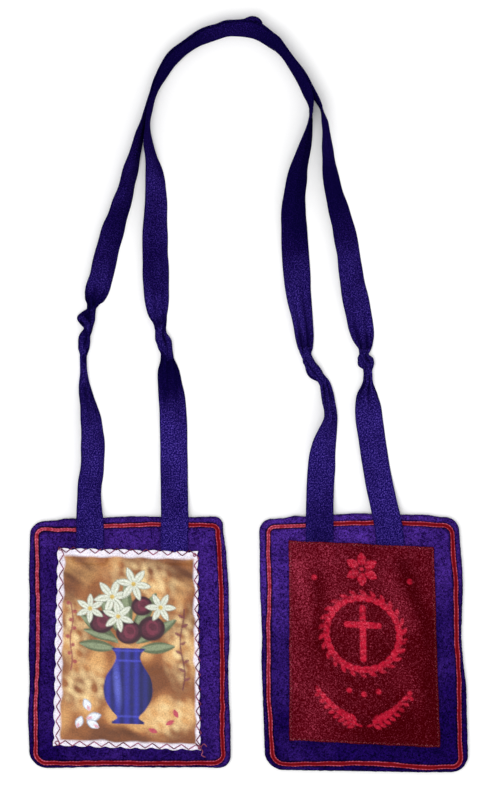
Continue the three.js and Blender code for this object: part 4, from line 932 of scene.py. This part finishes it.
# How the satin lies: its thickness, how high over the felt it lies flat and how close to a ribbon end, how
# far in its wrinkles are damped and how far it rises there, the puckers at the stitches, and the dip along
# the seam.
SATIN = {
    "thick": 0.35, "lies": 0.45, "gap": 0.12, "damped": 4, "rise": 0.25,
    "pucker": 0.1, "pucker_reach": 1.8, "pitch": ZIGZAG_PITCH, "dip": 0.22, "seam": 1.1, "seam_half": 0.9,
}
PICTURE_CORNERS = ((-68.75, -55.2), (-18.15, -56.6), (-17.15, -128.3), (-70.3, -126.6))
PICTURE_ENDS = ((-56.9, -60.0, 9.9), (-26.6, -60.0, 10.0))
GOLD_MARGINS = {"left": 2.3, "right": 1.35, "top": 2.6, "low": 2.1}


def lifted(ends, x, y):
    """How far the ribbon ends lift a patch: fully over an end, in a smooth step to nothing beside it."""
    lifts = []
    for end_x, end_y, wide in ends:
        beside = np.maximum(np.abs(x - end_x) - wide / 2 - LIFT_BESIDE, 0)
        below = np.maximum(end_y - LIFT_BESIDE - y, 0)
        near = np.clip(1 - np.hypot(beside, below) / LIFT_RAMP, 0, 1)
        lifts.append(near * near * (3 - 2 * near))
    return RIBBON_LIFT * np.max(lifts, axis=0)


def draped(wrinkles, edge, run, ends, x, y, cloth):
    """Height of a patch's upper face: its wrinkles, which die out towards the edge, a cosine pucker at each
    stitch, a dip like a bell curve along the seam, and never less than what the ribbon ends lift it to."""
    inner = 1 - np.exp(-edge / cloth["damped"])
    stitches = np.cos(2 * np.pi * run / cloth["pitch"])
    pucker = cloth["pucker"] * np.exp(-edge / cloth["pucker_reach"]) * stitches
    slack = wrinkles * inner + pucker
    sewn = cloth["dip"] * np.exp(-((edge - cloth["seam"]) / cloth["seam_half"]) ** 2)
    flat = FELT_THICK + cloth["lies"] + cloth["thick"] + slack - sewn + cloth["rise"] * inner
    over_end = FELT_THICK + cloth["gap"] + cloth["thick"] + lifted(ends, x, y) + SLACK_OVER_END * slack
    return np.maximum(flat, over_end)


def patch_grid(corners, scallop, pitch, seed):
    """Points of a four-sided patch, by bilinear steps between its corners, with its edge drawn in at each
    stitch. The stitches are counted down the left side, then along the low, up the right and back along the
    top side."""
    (x0, y0), (x1, y1), (x2, y2), (x3, y3) = corners
    wide, tall = x1 - x0, y0 - y3
    sides = (x3 - x0, y3 - y0), (x2 - x3, y2 - y3), (x1 - x2, y1 - y2), (x0 - x1, y0 - y1)
    long = [np.hypot(*side) for side in sides]
    pitch = sum(long) / round(sum(long) / pitch)
    u, v = np.meshgrid(np.linspace(0, 1, int(wide / GRID_STEP)), np.linspace(0, 1, int(tall / GRID_STEP)))
    x = (x0 * (1 - u) + x1 * u) * (1 - v) + (x3 * (1 - u) + x2 * u) * v
    y = (y0 * (1 - u) + y1 * u) * (1 - v) + (y3 * (1 - u) + y2 * u) * v
    left, right, top, low = u * wide, (1 - u) * wide, v * tall, (1 - v) * tall
    for distance, run, push_x, push_y in (
        (left, top, 1, 0), (low, long[0] + left, 0, 1),
        (right, long[0] + long[1] + low, -1, 0), (top, sum(long[:3]) + right, 0, -1),
    ):
        drawn = scallop * (0.5 + 0.5 * np.cos(2 * np.pi * run / pitch)) ** 2 * np.exp(-distance / 1.2)
        drawn += EDGE_WAVER * ripple(run, 0 * run, EDGE_WAVE, seed) * np.exp(-distance / 1.5)
        x, y = x + push_x * drawn, y + push_y * drawn
    return x, y, left, right, top, low


def patch_sheet(name, x, y, z, thick):
    """A closed sheet: the grid of its upper face, the same a thickness lower, and a rim between them."""
    rows, across = x.shape
    upper = np.dstack([x, y, z]).reshape(-1, 3)
    lower = upper - (0, 0, thick)
    number = np.arange(rows * across).reshape(rows, across)
    rim = np.concatenate([number[0], number[1:, -1], number[-1, -2::-1], number[-2:0:-1, 0]])
    after = np.roll(rim, -1)
    low = rows * across
    top = grid_faces(rows, across, False)[:, ::-1]
    sides = np.vstack([np.stack([rim, after + low, after], 1), np.stack([rim, rim + low, after + low], 1)])
    return make_mesh(name, np.vstack([upper, lower]), np.vstack([top, top[:, ::-1] + low, sides]))


x, y, left, right, top, low = patch_grid(PICTURE_CORNERS, 0.5, ZIGZAG_PITCH, 81)
edge = np.min([left, right, top, low], axis=0)
slanting = SLANT_WRINKLE * ripple(x * 0.9 + y * 0.45, y * 0.35 - x * 0.2, SLANT_WAVE, 82)
wrinkles = slanting + SMALL_WRINKLE * ripple(x, y, SMALL_WAVE, 83)
z = draped(wrinkles, edge, left + top, PICTURE_ENDS, x, y, SATIN)
picture = patch_sheet("picture_satin", x, y, z, SATIN["thick"])

# The printed picture is painted point by point, from the ground up. Its page is centred on the patch, in
# mm, and each shape below is drawn on the page that page_x and page_y hold at the time.
page_x = (left - right) / 2
page_y = (low - top) / 2
LEAF_EDGE = 0.3
LINE_EDGE = 0.25


def paint(under, hex_colour, cover):
    """Lays a colour over another, fully where cover is 1."""
    cover = np.clip(cover, 0, 1)[..., None]
    return under * (1 - cover) + linear(hex_colour) * cover


def oval(px, py, half_wide, half_tall, turn=0.0, soft=0.35):
    """1 inside an oval and 0 outside it, with a soft edge, by the oval's own distance scaled to mm."""
    c, s = np.cos(turn), np.sin(turn)
    dx, dy = page_x - px, page_y - py
    away = np.hypot((dx * c + dy * s) / half_wide, (dy * c - dx * s) / half_tall)
    return np.clip((1 - away) * min(half_wide, half_tall) / soft + 0.5, 0, 1)


def leaf(px, py, long, wide, turn):
    """1 inside a pointed leaf that starts at (px, py): its half width is a sine of the way along it."""
    c, s = np.cos(turn), np.sin(turn)
    along = ((page_x - px) * c + (page_y - py) * s) / long
    off = (page_y - py) * c - (page_x - px) * s
    half = wide / 2 * np.sin(np.pi * np.clip(along, 0, 1)) ** 0.8
    return np.clip((half - np.abs(off)) / LEAF_EDGE + 0.5, 0, 1) * ((along > 0) & (along < 1))


def stroke(points, wide):
    """1 on a line through points and 0 away from it, from the distance to its nearest stretch."""
    away = np.full(page_x.shape, np.inf)
    for (ax, ay), (bx, by) in zip(points[:-1], points[1:]):
        long = (bx - ax) ** 2 + (by - ay) ** 2
        t = np.clip(((page_x - ax) * (bx - ax) + (page_y - ay) * (by - ay)) / long, 0, 1)
        away = np.minimum(away, np.hypot(page_x - ax - t * (bx - ax), page_y - ay - t * (by - ay)))
    return np.clip((wide / 2 - away) / LINE_EDGE + 0.5, 0, 1)


# Ground: golden brown clouds inside the white margin, partly the print's own and partly painted satin
# sheen, with soft patches of painted sheen and painted shade.
clouds = 0.5 + 0.34 * ripple(page_x, page_y, 21, 84) + 0.2 * ripple(page_x, page_y, 9, 85)
ground = linear("F0EAF8") * np.ones((*x.shape, 1))
to_sides = {"left": left, "right": right, "top": top, "low": low}
inside = np.min([to_sides[side] - margin for side, margin in GOLD_MARGINS.items()], axis=0)
printed = np.clip((inside + 0.3 * ripple(page_x, page_y, 7, 86)) / 0.8 + 0.3, 0, 1)
gold = linear("7E4826") * np.ones((*x.shape, 1))
gold = paint(gold, "AA6A3A", np.clip(clouds * 1.7 - 0.1, 0, 1))
gold = paint(gold, "DAA466", np.clip((clouds - 0.5) * 2.2, 0, 1))
# Painted sheen of the satin, in soft pale patches.
for px, py, wide, tall, turn in (
    (7, 25, 12, 6, -0.2), (-19, 6, 5, 10, 0.1), (19, 2, 5, 12, 0.0), (-15, -14, 8, 7, 0.5),
    (15, -24, 8, 6, 0.3),
):
    painted_sheen = oval(px, py, wide, tall, turn, 5.0)
    gold = paint(gold, "F2D298", painted_sheen * (0.45 + 0.35 * ripple(page_x, page_y, 4, 87)))
# Painted shade of the satin's drapes, in soft dark patches.
for px, py, wide, tall in ((-18, 27, 7, 6), (20, 27, 6, 6), (-6, -31, 12, 3)):
    painted_sheen_shade = oval(px, py, wide, tall, 0.0, 4.0)
    gold = paint(gold, "66381C", painted_sheen_shade * (0.6 + 0.35 * ripple(page_x, page_y, 5, 88)))
colour = ground * (1 - printed[..., None]) + gold * printed[..., None]

# Grey-green leaves behind the flowers.
for px, py, long, wide, turn in (
    (-3, 2, 17, 4.6, 2.5), (-1, 4, 18, 4.4, 2.1), (1, 4, 19, 4.6, 1.05), (3, 2, 17, 4.4, 0.55),
    (-4, 0, 13, 4.2, 3.0), (4, 0, 13, 4.2, 0.1), (0, 5, 19, 4.6, 1.6), (-3, 3, 13, 3.4, 2.85),
):
    colour = paint(colour, "5E6A4C", leaf(px, py, long, wide, turn))
    colour = paint(colour, "93A07E", leaf(px, py, long, wide * 0.5, turn + 0.03) * 0.8)

# A fluted blue vase: its foot, rim and bands, and its half width at each height.
VASE_MIDDLE = 0.4
FLUTE_PITCH = 2 * np.pi / 1.9
VASE_PROFILE = [
    (-27, 5.2), (-26.2, 5.6), (-24.6, 3.7), (-22, 5.8), (-18, 8.0), (-14, 8.5), (-10, 7.7), (-6.5, 5.6),
    (-3.6, 4.3), (-1.4, 4.7), (0.4, 6.2),
]
flute = 0.5 + 0.5 * np.cos(2 * np.pi * page_x / FLUTE_PITCH)
profile = smooth_rows(VASE_PROFILE, 0.3)
half = np.interp(page_y, *profile.T)
on_height = (page_y > VASE_PROFILE[0][0]) & (page_y < VASE_PROFILE[-1][0])
vase = np.clip((half - np.abs(page_x - VASE_MIDDLE)) / 0.3 + 0.5, 0, 1) * on_height
colour = paint(colour, "1A1A66", vase)
colour = paint(colour, "3A3CC0", vase * flute * 0.55)
colour = paint(colour, "0E0E34", vase * np.clip((page_x - 3.2) / 5, 0, 1) * 0.75)
colour = paint(colour, "6C74DC", vase * oval(-3.4, -13, 1.1, 7, 0.1, 1.2) * 0.6)
for band in (-24.2, -4.2, -0.6):
    colour = paint(colour, "4A4CC8", vase * np.clip(0.55 - np.abs(page_y - band), 0, 1) * 1.6)

# Dark roses, each of three whorls that turn and shrink inwards.
for px, py, size in ((-9.0, 9.5, 4.4), (8.6, 7.6, 4.8), (0.6, 6.0, 4.6), (5.2, 15.6, 3.8)):
    colour = paint(colour, "3A1626", oval(px, py, size, size * 0.92, 0.2))
    for k, (share, shade) in enumerate(((0.78, "5C2438"), (0.56, "7C3248"), (0.34, "5A2034"))):
        whorl = oval(px + 0.25 * k, py + 0.3 * k, size * share, size * share * 0.8, 0.6 + k)
        colour = paint(colour, shade, whorl * 0.85)

# White lilies of six petals, each with a grey rim and rib, round a yellow middle.
for px, py, size, lean in (
    (-5.4, 18.6, 6.6, 0.2), (2.2, 23.4, 6.2, 0.9), (-13.2, 14.2, 5.2, 0.5), (11.8, 15.2, 5.4, 0.0),
    (-3.2, 11.6, 5.6, 0.7),
):
    for k in range(6):
        turn = lean + k * np.pi / 3
        colour = paint(colour, "8E9480", leaf(px, py, size * 1.04, size * 0.44, turn))
        colour = paint(colour, "E4E8DA", leaf(px, py, size, size * 0.36, turn))
        colour = paint(colour, "B9C0A8", leaf(px, py, size * 0.9, size * 0.08, turn) * 0.8)
    colour = paint(colour, "D8B860", oval(px, py, 0.8, 0.8))

# Fallen petals, white ones at the left and red ones at the right of the vase's foot.
for px, py, turn, size in (
    (-14, -25.5, 0.3, 5.2), (-9.6, -28.6, 2.6, 4.8), (-17.2, -28.8, 1.2, 4.4), (-12.8, -22.6, 2.0, 4.6),
):
    colour = paint(colour, "A8B4C8", leaf(px, py, size * 1.05, size * 0.62, turn))
    colour = paint(colour, "EEF2F8", leaf(px, py, size * 0.96, size * 0.5, turn))
    colour = paint(colour, "E07A94", leaf(px, py, size * 0.45, size * 0.22, turn) * 0.7)
for px, py, turn in ((13.4, -26.8, 0.5), (17.6, -24.2, 2.0), (10.6, -29.6, 2.8)):
    colour = paint(colour, "C04A5C", leaf(px, py, 3.4, 1.7, turn))

# A leafy vine up the right side, and a twig with berries up the left.
vine = [(19.4 + 0.8 * np.sin(k * 0.9), -14 + 3.2 * k) for k in range(10)]
colour = paint(colour, "6A2A38", stroke(vine, 0.5) * 0.85)
for k, (px, py) in enumerate(vine[1:-1]):
    colour = paint(colour, "7C3A44", leaf(px, py, 2.4, 1.1, (0.5, 2.6)[k % 2]) * 0.85)
twig = [(-19.6 + 0.5 * np.sin(k * 1.3), -8 + 3.0 * k) for k in range(9)]
colour = paint(colour, "8A3040", stroke(twig, 0.45) * 0.85)
for k, (px, py) in enumerate(twig[1:]):
    colour = paint(colour, "A03848", oval(px + (0.9, -0.9)[k % 2], py, 0.7, 0.7) * 0.85)

tint = picture.data.color_attributes.new("print", "FLOAT_COLOR", "POINT")
full = np.concatenate([colour, np.ones((*x.shape, 1))], axis=-1).reshape(-1, 4)
tint.data.foreach_set("color", np.vstack([full, full]).astype(np.float32).ravel())

# Printed polyester satin: long floats of bright yarn give it a soft gloss that runs with its wrinkles, and
# the print shows the fine grain of the weave.
satin, tree, shader = new_material("printed satin", Roughness=0.5, Specular_IOR_Level=0.25)
place = add_node(tree, "TexCoord", {}, {})
image = add_node(tree, "Attribute", {"attribute_name": "print"}, {})
grain = add_node(
    tree, "TexNoise", {"Scale": 1 / (0.5 * MM), "Detail": 2.0, "Roughness": 0.7},
    {"Vector": place.outputs["Object"]},
)
grainy = add_node(
    tree, "MapRange", {"From Min": 0.3, "From Max": 0.7, "To Min": 0.62, "To Max": 1.1},
    {"Value": grain.outputs[0]},
)
inked = add_node(
    tree, "VectorMath", {"operation": "SCALE"}, {0: image.outputs["Color"], 3: grainy.outputs[0]}
)
floats = add_node(tree, "Bump", {"Strength": 0.25, "Distance": 0.06 * MM}, {"Height": grain.outputs[0]})
tree.links.new(inked.outputs[0], shader.inputs["Base Color"])
tree.links.new(floats.outputs[0], shader.inputs["Normal"])
picture.data.materials.append(satin)
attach(picture, "root")
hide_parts("picture_patch")

# Zigzag stitch round the picture patch, in dark red sewing thread. The needle goes down by the cut edge and
# then at the edge of the print, so each stitch crosses the white margin.

THREAD_THICK = 0.36
THREAD_SIDES = 6
THREAD_GAP = 0.05
THREAD_BEND = 0.6
THREAD_CLIMB = 0.3
THREAD_LIFT, THREAD_ARCH = 0.02, 0.2


def thread(name, path, thick):
    """A round thread: a circle carried along a path of points (n x 3), standing square to it."""
    forward = np.gradient(path, axis=0)
    forward /= np.maximum(np.linalg.norm(forward, axis=1), 1e-9)[:, None]
    side = np.cross((0, 0, 1.0), forward)
    side /= np.maximum(np.linalg.norm(side, axis=1), 1e-9)[:, None]
    up = np.cross(forward, side)
    turn = np.linspace(0, 2 * np.pi, THREAD_SIDES, endpoint=False)
    ring = np.cos(turn)[None, :, None] * side[:, None] + np.sin(turn)[None, :, None] * up[:, None]
    return loft(name, path[:, None] + ring * thick / 2)


def edge_line(corners, step):
    """Points round a four-sided patch, a step apart, with the direction into the patch at each."""
    turned = [(px, py, THREAD_BEND) for px, py in (corners[0], corners[3], corners[2], corners[1])]
    line = round_outline({"corners": turned, "sides": [[]] * 4}, 0)
    line, along = evenly(np.vstack([line, line[:1]]), step)
    forward = np.gradient(line, axis=0)
    forward /= np.hypot(*forward.T)[:, None]
    return line, along, np.column_stack([-forward[:, 1], forward[:, 0]])


def height_at(grid, at):
    """Height of a patch's upper face at some points, from the nearest of every third point of its grid."""
    found = []
    x, y, z = (values.ravel()[::3] for values in grid)
    for block in np.array_split(at, max(len(at) // 200, 1)):
        away = (x - block[:, :1]) ** 2 + (y - block[:, 1:]) ** 2
        found.append(z[away.argmin(axis=1)])
    return np.concatenate(found)


def to_and_fro(along, pitch):
    """0 where a stitch starts and 1 at its far end, evenly between, with a whole number of stitches."""
    phase = along / along[-1] * round(along[-1] / pitch)
    return 2 * np.abs(phase - np.floor(phase + 0.5))


def seam_thread(name, line, inward, depth, grid, lift, thick):
    """Thread at some depth inside a patch's edge. It follows the patch, or the felt where it leaves it."""
    route = line + inward * depth[:, None]
    on_patch = np.clip(depth / THREAD_CLIMB, 0, 1)
    level = height_at(grid, route) * on_patch + (FELT_THICK + THREAD_GAP) * (1 - on_patch)
    return thread(name, np.column_stack([route, level + lift]), thick)


# The needle's outer and inner hole, as distances from the cut edge, on the left, the low, the right and the
# top side.
OUTER_HOLES = (0.9, 0.3, -0.3, -0.3)
INNER_HOLES = (2.4, 2.0, 1.4, 1.6)
line, along, inward = edge_line(PICTURE_CORNERS, 0.2)
wave = to_and_fro(along, ZIGZAG_PITCH)
toward = np.maximum(np.column_stack([inward, -inward]), 0)
outer_hole, inner_hole = toward @ np.array(OUTER_HOLES), toward @ np.array(INNER_HOLES)
depth = outer_hole + (inner_hole - outer_hole) * wave
arch = THREAD_LIFT + THREAD_ARCH * np.sin(np.pi * wave)
zigzag = seam_thread("picture_zigzag", line, inward, depth, (x, y, z), arch, THREAD_THICK)

# Spun polyester sewing thread, dark red and a little glossy, paler in stretches of a few millimetres.
red_thread, tree, shader = new_material("dark red sewing thread", Roughness=0.6, Specular_IOR_Level=0.3)
place = add_node(tree, "TexCoord", {}, {})
uneven = add_node(
    tree, "TexNoise", {"Scale": 1 / (2.5 * MM), "Detail": 1.0}, {"Vector": place.outputs["Object"]}
)
paler = add_node(tree, "MapRange", {"From Min": 0.38, "From Max": 0.66}, {"Value": uneven.outputs[0]})
spun = add_node(
    tree, "Mix", {"data_type": "RGBA", 6: rgba("560A26"), 7: rgba("9A4A6A")}, {0: paler.outputs[0]}
)
tree.links.new(spun.outputs[2], shader.inputs["Base Color"])

# Two loose ends of the same thread by the lower right corner, where the stitching was finished off.
TAIL_ENDS = (
    [(-19.0, -125.6), (-17.2, -126.8), (-16.0, -125.9), (-14.9, -126.9)],
    [(-18.0, -127.0), (-16.4, -128.4), (-16.8, -129.9), (-15.4, -130.6)],
)
tails = []
for k, points in enumerate(TAIL_ENDS):
    places = [(px, py, 3.5 + 0.5 * np.sin(2.0 * i + k)) for i, (px, py) in enumerate(points)]
    tails.append(thread(f"picture_thread_end_{k + 1}", smooth_rows(places, 0.15), THREAD_THICK))
for piece in (zigzag, *tails):
    piece.data.materials.append(red_thread)
    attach(piece, "root")

# Emblem patch
#
# Dark red velour with a short upright pile, printed in pink, cut to an oblong and sewn down close to its
# edge with red thread. It drapes in soft slanting folds below the ribbon ends.

EMBLEM_CORNERS = ((14.6, -52.6), (66.75, -55.0), (69.1, -127.2), (14.85, -124.6))
EMBLEM_ENDS = ((25.7, -59.0, 10.2), (51.4, -59.5, 10.6))
STITCH_PITCH = 1.7
FOLD_TALL = 0.45
FOLD_WAVER, FOLD_WAVE = 0.1, 8
VELOUR = {
    "thick": 0.7, "lies": 0.5, "gap": 0.15, "damped": 5, "rise": 0.3,
    "pucker": 0.04, "pucker_reach": 1.2, "pitch": 2 * STITCH_PITCH,
    "dip": 0.25, "seam": 0.5, "seam_half": 0.7,
}

# Folds from (x, y) to (x, y): half width, and how far they rise and catch painted sheen, less than nothing
# where they sink into painted shade.
FOLDS = [
    (18.5, -62.0, 22.0, -79.0, 3.2, 0.65), (24.5, -66.0, 26.5, -90.0, 3.2, -0.75),
    (29.5, -58.0, 32.0, -80.0, 2.6, 0.3), (40.0, -57.0, 40.0, -66.0, 5.0, -0.35),
    (50.0, -66.0, 58.5, -83.0, 3.2, 0.55), (55.0, -60.0, 66.0, -88.0, 2.6, -0.6),
    (29.0, -108.0, 20.5, -120.0, 4.6, 0.6), (54.0, -99.0, 61.5, -109.0, 4.0, 0.35),
    (34.0, -92.0, 46.0, -92.0, 4.0, -0.3), (17.0, -96.0, 18.0, -106.0, 3.0, 0.3),
    (45.0, -121.0, 56.0, -121.0, 5.0, -0.7), (66.0, -90.0, 67.5, -122.0, 4.0, -0.5),
]
x, y, left, right, top, low = patch_grid(EMBLEM_CORNERS, 0.06, 2 * STITCH_PITCH, 91)
edge = np.min([left, right, top, low], axis=0)
fold_rise_and_sheen = 0.12 * ripple(x, y, 14, 92)
for ax, ay, bx, by, half, rise in FOLDS:
    long = (bx - ax) ** 2 + (by - ay) ** 2
    share = np.clip(((x - ax) * (bx - ax) + (y - ay) * (by - ay)) / long, 0, 1)
    away = np.hypot(x - ax - share * (bx - ax), y - ay - share * (by - ay))
    fold_rise_and_sheen += rise * np.exp(-((away / half) ** 2))
folds = FOLD_TALL * np.clip(fold_rise_and_sheen, -1, 1) + FOLD_WAVER * ripple(x, y, FOLD_WAVE, 93)
z = draped(folds, edge, left + top, EMBLEM_ENDS, x, y, VELOUR)
emblem = patch_sheet("emblem_velour", x, y, z, VELOUR["thick"])

# The ornament: a plain cross in a ring of leaves, a flower above it and two sprays below, all in one pink.
# Its sizes are those of a smaller drawing, which is printed larger.
ORNAMENT_SCALE = 1.22
RING, RING_Y, RING_LEAVES = 11.2, 3.0, 26
CROSS_WIDE = 1.8
FLOWER_Y = 22.0
page_x = (left - right) / 2 / ORNAMENT_SCALE
page_y = (low - top) / 2 / ORNAMENT_SCALE
ink = np.zeros(x.shape)
for k in range(RING_LEAVES):
    turn = 2 * np.pi * k / RING_LEAVES
    px, py = RING * np.cos(turn), RING_Y + RING * np.sin(turn)
    ink = np.maximum(ink, leaf(px, py, 3.6, 1.5, turn + 2.1) * 0.95)
    ink = np.maximum(ink, leaf(px, py, 2.8, 1.2, turn + 1.0) * 0.8)
hoop = [(RING * np.cos(t), RING_Y + RING * np.sin(t)) for t in np.linspace(0, 2 * np.pi, 49)]
ink = np.maximum(ink, stroke(hoop, 0.55) * 0.8)
ink = np.maximum(ink, stroke([(0, -4.4), (0, 10.6)], CROSS_WIDE))
ink = np.maximum(ink, stroke([(-4.6, 5.6), (4.6, 5.6)], CROSS_WIDE))
for k in range(6):
    turn = np.pi / 6 + k * np.pi / 3
    ink = np.maximum(ink, leaf(0.8 * np.cos(turn), FLOWER_Y + 0.8 * np.sin(turn), 4.2, 2.6, turn) * 0.85)
ink = np.maximum(ink * (1 - 0.7 * oval(0, FLOWER_Y, 1.2, 1.2)), oval(0, FLOWER_Y, 0.6, 0.6))
for side in (-1, 1):
    stem = [(side * (1.0 + 1.45 * k), -24.2 + 0.42 * k + 0.09 * k * k) for k in range(9)]
    ink = np.maximum(ink, stroke(stem, 0.6) * 0.9)
    for k, (px, py) in enumerate(stem[1:]):
        lean = 1.15 if side > 0 else np.pi - 1.15
        fall = -0.45 if side > 0 else np.pi + 0.45
        ink = np.maximum(ink, leaf(px, py, 3.4 - 0.15 * k, 1.4, lean) * 0.85)
        ink = np.maximum(ink, leaf(px, py, 2.8 - 0.15 * k, 1.2, fall) * 0.85)
for px, py in ((-14.0, 19.0), (14.0, 19.0), (-4.2, -13.8), (0.0, -14.8), (4.2, -13.8)):
    ink = np.maximum(ink, oval(px, py, 0.8, 0.8) * 0.9)
ink *= np.clip(0.8 + 0.25 * ripple(page_x, page_y, 1.4, 94) + 0.15 * ripple(page_x, page_y, 6, 95), 0, 1)

for mark_name, mark in (("ornament", ink), ("fold_rise_and_sheen", np.clip(0.5 + 0.5 * fold_rise_and_sheen, 0, 1))):
    store(emblem, mark_name, mark, mark)

# Cotton velour: the upright pile swallows light, so it is deep red with pink specks where single tufts
# catch it. Painted sheen on a rising fold gives more tufts and a paler red, and painted shade on a sinking
# fold a deeper red. It is paler towards the upper left.
velour, tree, shader = new_material("cotton velour", Roughness=1.0, Specular_IOR_Level=0.0)
place = add_node(tree, "TexCoord", {}, {})
pile = add_node(
    tree, "TexNoise", {"Scale": 1 / (0.52 * MM), "Detail": 3.0, "Roughness": 0.9},
    {"Vector": place.outputs["Object"]},
)
parts = add_node(tree, "SeparateXYZ", {}, {0: place.outputs["Object"]})
leftward = add_node(
    tree, "MapRange", {"From Min": 66 * MM, "From Max": 18 * MM, "To Min": -0.26, "To Max": 0.04},
    {"Value": parts.outputs["X"]},
)
upward = add_node(
    tree, "MapRange", {"From Min": -124 * MM, "From Max": -60 * MM, "To Min": -0.22, "To Max": 0.12},
    {"Value": parts.outputs["Y"]},
)
tone_and_light = add_node(tree, "Math", {"operation": "ADD"}, {0: leftward.outputs[0], 1: upward.outputs[0]})
# Painted sheen and shade of the folds, from the stored fold rise.
fold_rise_and_sheen = add_node(tree, "Attribute", {"attribute_name": "fold_rise_and_sheen"}, {})
sheen_and_tone = add_node(
    tree, "Math", {"operation": "ADD", "use_clamp": True}, {0: fold_rise_and_sheen.outputs["Fac"], 1: tone_and_light.outputs[0]}
)
raised = add_node(tree, "Math", {"operation": "MULTIPLY", 1: 0.1}, {0: sheen_and_tone.outputs[0]})
caught = add_node(tree, "Math", {"operation": "ADD"}, {0: pile.outputs[0], 1: raised.outputs[0]})
tufts = add_node(tree, "MapRange", {"From Min": 0.56, "From Max": 0.78}, {"Value": caught.outputs[0]})
deep = add_node(
    tree, "Mix", {"data_type": "RGBA", 6: rgba("3C0004"), 7: rgba("56000C")}, {0: sheen_and_tone.outputs[0]}
)
lit = add_node(
    tree, "Mix", {"data_type": "RGBA", 6: rgba("AC3E54"), 7: rgba("C64A66")}, {0: sheen_and_tone.outputs[0]}
)
dyed = add_node(
    tree, "Mix", {"data_type": "RGBA"}, {0: tufts.outputs[0], 6: deep.outputs[2], 7: lit.outputs[2]}
)
printed = add_node(tree, "Attribute", {"attribute_name": "ornament"}, {})
pink = add_node(
    tree, "Mix", {"data_type": "RGBA", 6: rgba("B41630"), 7: rgba("FF7088")}, {0: tufts.outputs[0]}
)
inked = add_node(
    tree, "Mix", {"data_type": "RGBA"}, {0: printed.outputs["Fac"], 6: dyed.outputs[2], 7: pink.outputs[2]}
)
fur = add_node(tree, "Bump", {"Strength": 0.6, "Distance": 0.2 * MM}, {"Height": pile.outputs[0]})
tree.links.new(inked.outputs[2], shader.inputs["Base Color"])
tree.links.new(fur.outputs[0], shader.inputs["Normal"])
emblem.data.materials.append(velour)
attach(emblem, "root")
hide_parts("emblem_patch")

# Small overcast stitches round the emblem patch, in fine thread of the velour's red with paler specks. They
# run from just inside the cut edge to a little further in, and sink slightly into the pile.
FINE_THREAD = 0.2
OVERCAST_FROM, OVERCAST_LONG, OVERCAST_SINK = 0.05, 0.85, 0.02
line, along, inward = edge_line(EMBLEM_CORNERS, 0.17)
depth = OVERCAST_FROM + OVERCAST_LONG * to_and_fro(along, STITCH_PITCH)
overcast = seam_thread("emblem_stitches", line, inward, depth, (x, y, z), -OVERCAST_SINK, FINE_THREAD)
same_red, tree, shader = new_material("red sewing thread", Roughness=0.6, Specular_IOR_Level=0.3)
place = add_node(tree, "TexCoord", {}, {})
uneven = add_node(
    tree, "TexNoise", {"Scale": 1 / (1.3 * MM), "Detail": 1.0}, {"Vector": place.outputs["Object"]}
)
tone_and_light = add_node(tree, "MapRange", {"From Min": 0.52, "From Max": 0.74}, {"Value": uneven.outputs[0]})
spun = add_node(
    tree, "Mix", {"data_type": "RGBA", 6: rgba("5C0412"), 7: rgba("B05868")}, {0: tone_and_light.outputs[0]}
)
tree.links.new(spun.outputs[2], shader.inputs["Base Color"])
overcast.data.materials.append(same_red)
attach(overcast, "root")

# Table, light and camera
#
# A plain pale table under soft studio light, seen from straight above through a long lens, as the
# photograph was taken.

VIEW_TALL = 287.64
LENS = 250.0
SENSOR = 36.0
VIEW_X, VIEW_Y = -0.63, -1.89
TABLE_HALF, TABLE_TOP = 900.0, -0.02
STUDIO_LIGHT = 0.8
SOFTBOX_PLACE, SOFTBOX_WIDE, SOFTBOX_POWER = (-0.15, -0.2, 1.22), 0.8, 7.4

quarters = ((-1, -1), (1, -1), (1, 1), (-1, 1))
table_corners = np.array([(TABLE_HALF * across, TABLE_HALF * up, TABLE_TOP) for across, up in quarters])
table = make_mesh("table", table_corners, np.array([(0, 1, 2), (0, 2, 3)]))
laminate, tree, shader = new_material("pale laminate", Roughness=0.7)
shader.inputs["Base Color"].default_value = rgba("FEFEFE")
table.data.materials.append(laminate)

world = bpy.data.worlds.new("studio")
world.use_nodes = True
world.node_tree.nodes["Background"].inputs["Color"].default_value = (1, 1, 1, 1)
world.node_tree.nodes["Background"].inputs["Strength"].default_value = STUDIO_LIGHT
bpy.context.scene.world = world

lamp = bpy.data.lights.new("softbox", "AREA")
lamp.size = SOFTBOX_WIDE
lamp.energy = SOFTBOX_POWER
softbox = bpy.data.objects.new("softbox", lamp)
softbox.location = SOFTBOX_PLACE
softbox.rotation_euler = (-softbox.location).to_track_quat("-Z", "Y").to_euler()
bpy.context.scene.collection.objects.link(softbox)

lens = bpy.data.cameras.new("camera")
lens.lens = LENS
lens.sensor_width = SENSOR
lens.clip_start, lens.clip_end = 0.1, 20.0
camera = bpy.data.objects.new("camera", lens)
camera.location = (VIEW_X * MM, VIEW_Y * MM, VIEW_TALL * MM * LENS / SENSOR + FELT_THICK * MM)
bpy.context.scene.collection.objects.link(camera)
bpy.context.scene.camera = camera
bpy.context.scene.view_settings.view_transform = "Standard"
